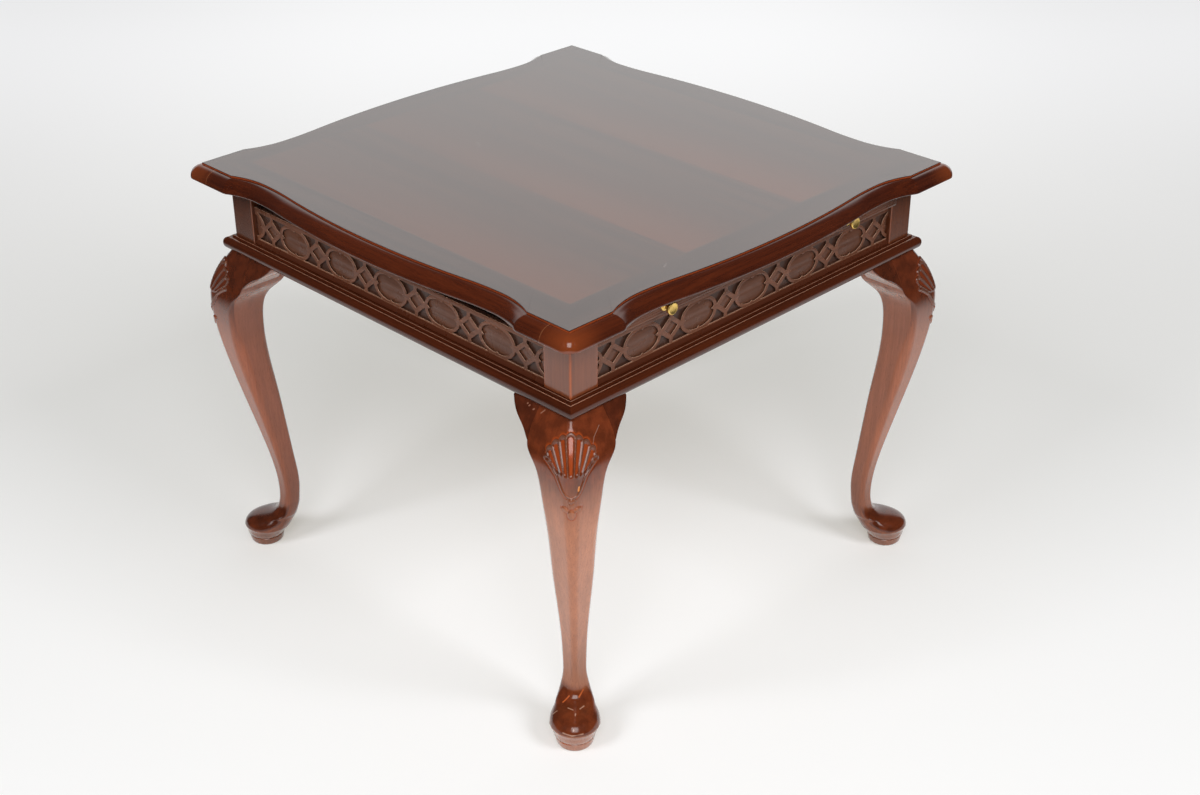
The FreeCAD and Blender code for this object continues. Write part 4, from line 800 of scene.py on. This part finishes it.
def relief_on(points):
    """Displacement of the carved rows and the relief's height at each point."""
    upwards = np.gradient(points, axis=0)
    around = (np.roll(points, -1, axis=1) - np.roll(points, 1, axis=1)) / 2
    normal = np.cross(around, upwards)
    normal /= np.maximum(np.linalg.norm(normal, axis=2, keepdims=True), 1e-9)
    x, y, z = np.moveaxis(points, -1, 0)
    w = (x - y) / sqrt(2)
    outer = (np.maximum(x, y) > 0) & (np.abs(w) < 40)
    relief = np.where(outer & (z > CARVED_ROWS[0]) & (z < CARVED_ROWS[1]), shell_relief(w, z), 0.0)
    return normal * relief[..., None], relief


def leg_lattice():
    """Rows of one leg from the floor up, with its post's outer corner at the origin and the room at +X +Y."""
    heights, rings = leg_stations()
    columns = rings.shape[1]

    def level_rows(rows):
        return [np.concatenate([ring, np.full((columns, 1), level)], axis=1) for level, ring in rows]

    steps = np.linalg.norm(np.diff(rings, axis=0), axis=2).mean(axis=1)
    knots = np.concatenate([[0], np.cumsum(np.hypot(steps, np.diff(heights)))])
    values = np.concatenate([heights[:, None], rings.reshape(len(heights), -1)], axis=1)
    fine = np.linspace(0, knots[-1], 3000)
    tall = natural_spline(knots, heights[:, None], fine)[:, 0]
    spacing = np.where((tall > KNEE_ROWS[0]) & (tall < KNEE_ROWS[1]), 0.65, np.where(tall < ANKLE, 1.9, 4.5))
    count = np.concatenate([[0], np.cumsum(np.diff(fine) / spacing[1:])])
    at = np.interp(np.linspace(0, count[-1], int(count[-1]) + 1), count, fine)
    rows = natural_spline(knots, values, at)
    plan = np.maximum(rows[:, 1:].reshape(len(at), columns, 2), -POST)
    points = np.concatenate([plan, np.repeat(rows[:, :1, None], columns, axis=1)], axis=2)[::-1]
    carved, relief = relief_on(points)
    low = level_rows(reversed(foot_rows()))
    post = leg_ring(0.0, -POST, 3.0, 1.2, 1.2)
    high = level_rows((level, post) for level in (RAIL_LOW, RAIL_LOW + 1.0, 500.0, UNDERSIDE))
    return np.concatenate([low, points + carved, high]), np.pad(relief, ((len(low), len(high)), (0, 0)))


def post_arrises(columns):
    """1 at the posts' arrises, fading to 0 on their faces, for each column of the lattice."""
    place = np.arange(columns)
    left, right = CORNER_COUNT + len(RING_SHARES) + 2.5, columns - len(RING_SHARES) - 3.5
    return np.clip(hump(place, CORNER_COUNT // 2, 8.0) + hump(place, left, 2.0) + hump(place, right, 2.0), 0, 1)


def build_legs():
    lattice, relief = leg_lattice()
    arris = np.tile(post_arrises(lattice.shape[1]), len(lattice))
    points, faces = loft(lattice)
    for quarters, (corner, (sign_x, sign_y, tone)) in enumerate(CORNERS.items()):
        x, y = turned(points[:, 0], points[:, 1], quarters)
        placed = np.stack([x + sign_x * FACE_X, y + sign_y * FACE_Y, points[:, 2]], axis=-1)
        show("cabriole_leg_" + corner, (placed, faces), "leg", "leg_wood", "leg_" + corner, crease=42, relief=relief,
             tone=np.full(len(points), tone), arris=arris)


# ---- knee blocks

# along the block from its tip to the leg: share of its length and share of its drop
EAR_STEPS = ((0.0, 0.08), (0.10, 0.19), (0.24, 0.31), (0.53, 0.49), (0.81, 0.67), (1.0, 0.85))
EAR_DROP, EAR_BACK, EAR_ARRIS, EAR_LENGTH, SHORT_EAR_LENGTH = 44.0, -30.0, 1.2, 40.5, 36.0


def ear_rings(length):
    """The knee block on the +X face: rings along the rail, from its tip to the leg."""
    heights, reaches = KNEE_PROFILE[::-1].T
    knots, downs = np.array(EAR_STEPS).T
    rings = []
    for share in np.concatenate([[0.0, 0.01], np.linspace(0.03, 1, 34)]):
        down = natural_spline(knots, downs[:, None], [share])[0, 0] * EAR_DROP
        low = RAIL_LOW - down
        levels = RAIL_LOW - down * np.linspace(0, 1, 25)
        front = natural_spline(heights, reaches[:, None], levels)[:, 0]
        arris = min(EAR_ARRIS, down / 3)
        levels[-2] = max(levels[-2], low + arris * 1.4)
        edge = front[-1]
        ring = [(EAR_BACK, RAIL_LOW), *zip(front[:-1], levels[:-1]), (edge, low + arris),
                (edge - arris * 0.3, low + arris * 0.3), (edge - arris, low), (EAR_BACK, low)]
        y = -POST - length + share * (length - 0.3)
        rings.append([(out, y, level) for out, level in ring])
    return np.array(rings)


def build_ears():
    for corner, (sign_x, sign_y, tone) in CORNERS.items():
        for rail in ("side", corner.split("_")[0]):
            # the block on the side rail keeps the leg's X face; the other is its mirror across the diagonal
            length = SHORT_EAR_LENGTH if (corner, rail) == ("front_left", "front") else EAR_LENGTH
            out, back, level = np.moveaxis(ear_rings(length), -1, 0)
            x, y = (out, back) if rail == "side" else (back, out)
            rings = np.stack([sign_x * (x + FACE_X), sign_y * (y + FACE_Y), level], axis=-1)
            place = "_%s_%s_rail" % (corner, rail)
            show("knee_ear" + place, loft(rings), "leg", "leg_wood", "knee_block" + place, crease=40)


# ---- fret panels and base mouldings

FRET_HEIGHT, FRET_MIDDLE, FRET_PITCH = 37.0, 493.7, 93.4
OVAL, FULLNESS, STRAP, LOZENGE, CUSP = (51.0, 32.6), 2.4, 5.5, (22.0, 18.0), 4.0
FRET_RECESS, FRET_DEPTH, PANEL_DEPTH = 5.0, 3.2, 2.3
PLINTH_HEIGHT, PLINTH_BEVEL, PLINTH_REACH = 1.7, 3.8, 3.0
PANEL_TOP = FRET_TOP - 6.5
STRAP_ARRIS, GROUND_ARRIS = 0.4, 0.05


def oval_window():
    """A full oval with a point reaching in at each end and a smaller one above and below."""
    half_x, half_z = OVAL[0] / 2, OVAL[1] / 2
    points = []
    for tip, start, end in (((half_x - CUSP, 0.0), 9.0, 83.5), ((0.0, half_z - CUSP / 2), 96.5, 171.0)):
        points.append(tip)
        for angle in np.radians(np.linspace(start, end, 14)):
            x, z = cos(angle), sin(angle)
            fullness = (abs(x) ** FULLNESS + abs(z) ** FULLNESS) ** (-1 / FULLNESS)
            points.append((half_x * x * fullness, half_z * z * fullness))
    return points + [(-x, -z) for x, z in points]


def spandrel_window():
    """The window right of an oval and above its middle line, up to the strap over the next lozenge."""
    ring_x, ring_z = OVAL[0] / 2 + STRAP, OVAL[1] / 2 + STRAP
    half = FRET_HEIGHT / 2
    outer_x = LOZENGE[0] / 2 + STRAP * hypot(*LOZENGE) / LOZENGE[1]
    outer_z = outer_x * LOZENGE[1] / LOZENGE[0]
    middle = FRET_PITCH / 2
    strap = middle - STRAP / 2
    top = asin(half / ring_z)
    angles = np.linspace(0, top, 400)
    gap = (middle - ring_x * np.cos(angles)) / outer_x + ring_z * np.sin(angles) / outer_z - 1
    meet = angles[np.argmax(gap > 0)]
    points = [(ring_x * cos(a), ring_z * sin(a)) for a in np.linspace(meet, top, 16)]
    return points + [(strap, half), (strap, outer_z * (1 - (middle - strap) / outer_x))]


def clip_side(points, limit, sign):
    """The part of a closed outline where sign * x is at most limit."""
    kept = []
    for (x1, z1), (x2, z2) in zip(points, points[1:] + points[:1]):
        inside = sign * x1 <= limit
        if inside:
            kept.append((x1, z1))
        if inside != (sign * x2 <= limit):
            share = (sign * limit - x1) / (x2 - x1)
            kept.append((sign * limit, z1 + share * (z2 - z1)))
    return kept


def outline_area(points):
    return abs(sum(x1 * z2 - x2 * z1 for (x1, z1), (x2, z2) in zip(points, points[1:] + points[:1]))) / 2


def fret_windows(half_clear):
    """Outlines of the sunk grounds along one panel: the deep spandrels, then the shallow ovals and lozenges."""
    deep, shallow = [], []
    lozenge = [(-LOZENGE[0] / 2, 0.0), (0.0, -LOZENGE[1] / 2), (LOZENGE[0] / 2, 0.0), (0.0, LOZENGE[1] / 2)]
    repeats = int(half_clear // FRET_PITCH) + 2
    for number in range(-repeats, repeats + 1):
        x = number * FRET_PITCH
        shallow.append([(px + x, pz) for px, pz in oval_window()])
        shallow.append([(px + x + FRET_PITCH / 2, pz) for px, pz in lozenge])
        deep += [[(x + mirror * px, flip * pz) for px, pz in spandrel_window()]
                 for mirror in (-1, 1) for flip in (-1, 1)]
    limit = half_clear + 1.0
    kept = []
    for windows in (deep, shallow):
        clipped = [clip_side(clip_side(window, limit, -1), limit, 1) for window in windows]
        kept.append([window for window in clipped if len(window) > 2 and outline_area(window) > STRAP])
    return kept


def curve_plate(outlines, face, thickness, arris):
    """A flat plate with holes and rounded arrises in the front side's frame; its face lies at y = face.

    Outlines are (x, height above the fret's middle).
    """
    curve = bpy.data.curves.new("plate", "CURVE")
    curve.dimensions, curve.fill_mode = "2D", "BOTH"
    curve.extrude = (thickness / 2 - arris) * MM
    curve.bevel_depth, curve.bevel_resolution, curve.offset = arris * MM, 2, -arris * MM
    for outline in outlines:
        spline = curve.splines.new("POLY")
        spline.points.add(len(outline) - 1)
        for point, (x, z) in zip(spline.points, outline):
            point.co = (x * MM, z * MM, 0, 1)
        spline.use_cyclic_u = True
    holder = bpy.data.objects.new("plate", curve)
    bpy.context.scene.collection.objects.link(holder)
    bpy.context.view_layer.update()
    mesh = bpy.data.meshes.new_from_object(holder.evaluated_get(bpy.context.evaluated_depsgraph_get()))
    bpy.data.objects.remove(holder)
    bpy.data.curves.remove(curve)
    flat = np.array([v.co for v in mesh.vertices]) / MM
    faces = [tuple(polygon.vertices) for polygon in mesh.polygons]
    bpy.data.meshes.remove(mesh)
    return np.stack([flat[:, 0], face + thickness / 2 - flat[:, 2], flat[:, 1] + FRET_MIDDLE], axis=-1), faces


def widened(outline, by):
    """An outline pushed outwards from its own middle."""
    points = np.array(outline)
    low, high = points.min(axis=0), points.max(axis=0)
    middle = (low + high) / 2
    return middle + (points - middle) * (1 + by / ((high - low) / 2))


def build_frets():
    """Each panel: straps, the shallow grounds of its ovals and lozenges, the deep ground and the foot."""
    ground, foot = FRET_RECESS + FRET_DEPTH, FRET_RECESS - PLINTH_REACH
    foot_top = BASE_TOP + PLINTH_HEIGHT
    cove_top, ground_top = foot_top + PLINTH_BEVEL, PANEL_TOP - 1.0
    thickness = RAIL_OUTER - FRET_RECESS - 1.0
    profile = ((ground, ground_top), (ground, cove_top), (FRET_RECESS, cove_top), (foot + 0.35, foot_top + 0.3),
               (foot, foot_top - 0.3), (foot, BASE_TOP), (RAIL_OUTER, BASE_TOP), (RAIL_OUTER, ground_top))
    for side in SIDES:
        half_clear = along(side, CLEAR_X, CLEAR_Y)
        edge, low, high = half_clear + 4.0, cove_top - FRET_MIDDLE, PANEL_TOP - FRET_MIDDLE
        outer = [(-edge, low), (edge, low), (edge, high), (-edge, high)]
        deep, shallow = fret_windows(half_clear)
        straps = curve_plate([outer] + deep + shallow, FRET_RECESS, thickness, STRAP_ARRIS)
        grounds = curve_plate([widened(window, 1.0) for window in shallow], FRET_RECESS + PANEL_DEPTH,
                              thickness - PANEL_DEPTH - 0.5, GROUND_ARRIS)
        back = loft([[(x, y, z) for y, z in profile] for x in (-half_clear, half_clear)])
        parts = [straps, grounds, back]
        level = [(FRET_RECESS - y) / FRET_DEPTH for x, y, z in join_parts(parts)[0]]
        show("blind_fret_" + side, side_solid(side, parts), along(side, "fret_x", "fret_y"), "solid_wood",
             "fret_panel_" + side, crease=32, relief=level)


def base_profile():
    """(out, z, painted highlight line) round the base moulding's visible face, from the back of its top to its
    underside.
    """
    radius = (BASE_TOP - RAIL_LOW - BASE_FILLET - 0.5) / 2
    step = BASE_REACH - NOSE_DEPTH
    ledge = BASE_TOP - BASE_FILLET
    reach = BASE_FILLET_REACH
    nose = arc((step, RAIL_LOW + radius), (NOSE_DEPTH, radius), 90, -90, 25)
    return [(0.0, BASE_TOP, 0), (reach - 0.5, BASE_TOP, 0), (reach - 0.12, BASE_TOP - 0.12, 1),
            (reach, BASE_TOP - 0.5, 0), (reach, ledge + 0.4, 0), (reach + 0.4, ledge, 0), (step - 0.9, ledge, 0),
            (step - 0.7, ledge, 1), (step - 0.1, ledge - 0.05, 1), (step, ledge - 0.3, 0),
            *((out, z, 0) for out, z in nose), (0.0, RAIL_LOW, 0)]


def build_base_mouldings():
    profile = base_profile()
    lines = [line for out, z, line in profile]
    for side in SIDES:
        half_face, half_clear = along(side, (FACE_X, CLEAR_X), (FACE_Y, CLEAR_Y))
        moulding = loft([[(sign * (half_face + out), -out, z) for out, z, line in profile] for sign in (-1, 1)])
        back = loft([[(-half_clear, 0.0, z), (half_clear, 0.0, z), (half_clear, RAIL_OUTER, z),
                      (-half_clear, RAIL_OUTER, z)] for z in (RAIL_LOW, BASE_TOP)])
        show("base_bead_" + side, side_solid(side, [moulding, back]), along(side, "bead_x", "bead_y"), "solid_wood",
             "base_moulding_" + side, crease=30, line=lines * 2 + [0] * len(back[0]))


# ---- slide

QUIRKS = (3.6, 6.8)      # heights of the strip's two sunk lines
QUIRK_PROFILE = ((0.0, -0.15), (0.15, 0.0), (0.4, 0.2), (0.4, 0.6), (0.15, 0.8), (0.0, 0.95))
STRIP_ROUNDING = 2.5


def build_strip():
    """The slide's front strip: a rounded lower edge, two sunk lines and rounded ends."""
    half, back, high = STRIP_HIGH
    front, low = STRIP_LOW[1:]
    rounding = STRIP_ROUNDING
    profile = [(back, low), (front + rounding, low),
               *arc((front + rounding, low + rounding), (rounding, rounding), 255, 180, 6)]
    profile += [(front + sunk, low + quirk + rise) for quirk in QUIRKS for sunk, rise in QUIRK_PROFILE]
    profile += [(front, high - 0.5), (front + 0.15, high - 0.15), (front + 0.5, high), (back, high)]
    ends = arc((half - rounding, rounding), (rounding, -rounding), 0, 90, 7)
    rings = [[(sign * x, max(y, front + retreat), z) for y, z in profile]
             for sign, stations in ((-1, ends), (1, ends[::-1])) for x, retreat in stations]
    show("strip_of_slide", loft(rings), "strip", "solid_wood", "slide_front_strip", body="slide")


# out from the strip's face, and radius
KNOB_PROFILE = ((0.0, 6.5), (0.7, 6.5), (1.15, 6.1), (1.5, 4.9), (2.1, 3.4), (3.2, 2.8), (4.4, 2.9), (6.0, 3.9),
                (7.2, 5.7), (8.2, 7.0), (9.6, 7.65), (11.0, 7.8), (12.2, 7.5), (12.85, 7.0), (13.0, 6.5),
                (12.9, 6.0), (12.7, 5.3), (12.5, 4.1), (12.4, 2.6), (12.35, 1.1), (12.35, 0.02))
KNOB_SHIFTS = {"left": 0.3, "right": 4.5}      # towards -X
KNOB_DROP = 1.0


def build_knobs():
    for place, shift in KNOB_SHIFTS.items():
        middle = sum(node_box("knob_" + place)) / 2 - (shift, 0.0, KNOB_DROP)
        rings = [[(x, STRIP_LOW[1] - out, z) for x, z in arc(middle[::2], (radius, radius), 0, 352.5, 48)]
                 for out, radius in KNOB_PROFILE]
        show("turned_knob_" + place, loft(rings), "brass", "brass", "knob_" + place, crease=50, body="slide")


# ---- inner frame: CAD nodes with finished edges

INNER_NODES = {
    "inner_x": ("rail_front", "rail_back", "upper_rail_back", "slide_board", "slide_stop_batten", "slide_back_stops"),
    "inner_y": ("rail_left", "rail_right", "slide_guide_left", "slide_guide_right", "slide_runner_left",
                "slide_runner_right", "post_dowels", *("corner_block_" + corner for corner in CORNERS)),
    "core": ("top_core",), "field": ("top_veneer_field",), "steel": ("corner_block_screws",),
}


def finish_nodes():
    for finish, nodes in INNER_NODES.items():
        for node in nodes:
            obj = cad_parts[node]
            obj.data.materials.clear()
            obj.data.materials.append(MATERIALS[finish])
            if node in ("top_veneer_field", "post_dowels"):
                continue
            obj.modifiers.new("weld", "WELD").merge_threshold = 1e-5
            bevel = obj.modifiers.new("arris", "BEVEL")
            bevel.width = 0.0006
            bevel.segments = 2
            bevel.limit_method = "ANGLE"
            bevel.angle_limit = radians(40)


# ---- floor, light, camera

PITCH, HEADING, ROLL = radians(-29.359), radians(45.008), radians(-0.2255)
PAPER_HALF = 1.7                      # half the width of the white paper that runs under the table, in metres
ROOM = (0.05, 0.049, 0.048)           # the studio round it
PAPER, PAPER_SEEN = (0.80, 0.795, 0.785), (0.65, 0.655, 0.69)
GLOW_NEAR, GLOW_FAR = (0.31, 0.305, 0.265), (0.63, 0.63, 0.62)
AIM, LIGHT_DISTANCE = Vector((0, 0, 0.35)), 5.2      # what the softboxes point at, and from how far


def view_axes(x, y):
    """How far a place lies along the photo's view and to its right."""
    return x * cos(HEADING) + y * sin(HEADING), x * sin(HEADING) - y * cos(HEADING)


def build_floor():
    """A white sweep: the camera and mirrors see it near white, with the table's shadow."""
    radius, count = 9.0, 48
    mesh = bpy.data.meshes.new("floor")
    ring = [(radius * cos(2 * pi * k / count), radius * sin(2 * pi * k / count), 0.0) for k in range(count)]
    mesh.from_pydata(ring, [], [tuple(range(count))])
    floor = bpy.data.objects.new("floor", mesh)
    bpy.context.scene.collection.objects.link(floor)
    g = new_graph("floor")
    beyond, aside = view_axes(*g.axes()[:2])
    camera, glossy, transmitted = (g.add("LightPath", out="Is %s Ray" % kind)
                                   for kind in ("Camera", "Glossy", "Transmission"))
    paper = g.calc("MAXIMUM", abs(aside).span(PAPER_HALF, PAPER_HALF - 0.6), camera)
    lit = g.add("BsdfDiffuse", Color=g.mix(paper, ROOM, PAPER))
    seen = g.add("BsdfDiffuse", Color=g.mix(paper, ROOM, PAPER_SEEN))
    glow = g.add("Emission", Color=g.mix(beyond.span(0.6, 2.4), GLOW_NEAR, GLOW_FAR),
                 Strength=paper * abs(aside).span(0.3, 1.5, 1.0, 0.85))
    shown = g.calc("MAXIMUM", g.calc("MAXIMUM", camera, glossy), transmitted)
    g.add("OutputMaterial", Surface=g.add("MixShader", shown, lit, g.add("AddShader", seen, glow)))
    mesh.materials.append(g.owner)


def build_world():
    """A white sweep behind the table and a dark room elsewhere; the camera sees plain white."""
    world = bpy.data.worlds.new("studio")
    bpy.context.scene.world = world
    g = Graph(world)
    x, y, z = g.axes(g.add("TexCoord", out="Generated"))
    ahead, aside = view_axes(x, y)
    sweep = ahead.span(0.55, 0.72) * z.span(0.62, 0.52) * aside.span(-0.35, 0.3, 0.86, 1.03)
    room = g.mix(sweep, ROOM, (1.0, 1.0, 1.0))
    shown = g.mix(g.add("LightPath", out="Is Camera Ray"), room, (0.93, 0.93, 0.925))
    g.add("OutputWorld", Surface=g.add("Background", Color=shown, Strength=1.0))


def build_lights():
    """Softboxes aimed at the table. Azimuth 0 stands in front (-Y), 90 to the right (+X)."""
    for name, azimuth, elevation, width, height, power in (
            ("key_softbox", -45, 41, 2.6, 3.0, 106), ("left_softbox", -98, 38, 2.0, 2.0, 118),
            ("right_softbox", 8, 38, 2.0, 2.0, 135)):
        data = bpy.data.lights.new(name, "AREA")
        data.shape = "RECTANGLE"
        data.size, data.size_y, data.energy = width, height, power
        light = bpy.data.objects.new(name, data)
        a, e = radians(azimuth), radians(elevation)
        way = Vector((sin(a) * cos(e), -cos(a) * cos(e), sin(e)))
        light.location = AIM + way * LIGHT_DISTANCE
        light.rotation_mode = "QUATERNION"
        light.rotation_quaternion = way.to_track_quat("Z", "Y")
        light.visible_glossy = name == "key_softbox"
        bpy.context.scene.collection.objects.link(light)


def build_camera():
    """The camera, found from the object's own perspective."""
    data = bpy.data.cameras.new("camera")
    data.lens = 53.174
    data.sensor_width = 36.0
    camera = bpy.data.objects.new("camera", data)
    bpy.context.scene.collection.objects.link(camera)
    camera.matrix_world = (Matrix.Translation((-1.4569, -1.5079, 1.4062)) @ Matrix.Rotation(HEADING - pi / 2, 4, "Z")
                           @ Matrix.Rotation(PITCH + pi / 2, 4, "X") @ Matrix.Rotation(ROLL, 4, "Z"))
    bpy.context.scene.camera = camera


build_top_edges()
build_borders()
build_legs()
build_ears()
build_frets()
build_base_mouldings()
build_strip()
build_knobs()
finish_nodes()
build_floor()
build_world()
build_lights()
build_camera()
bpy.context.scene.view_settings.view_transform = "Standard"
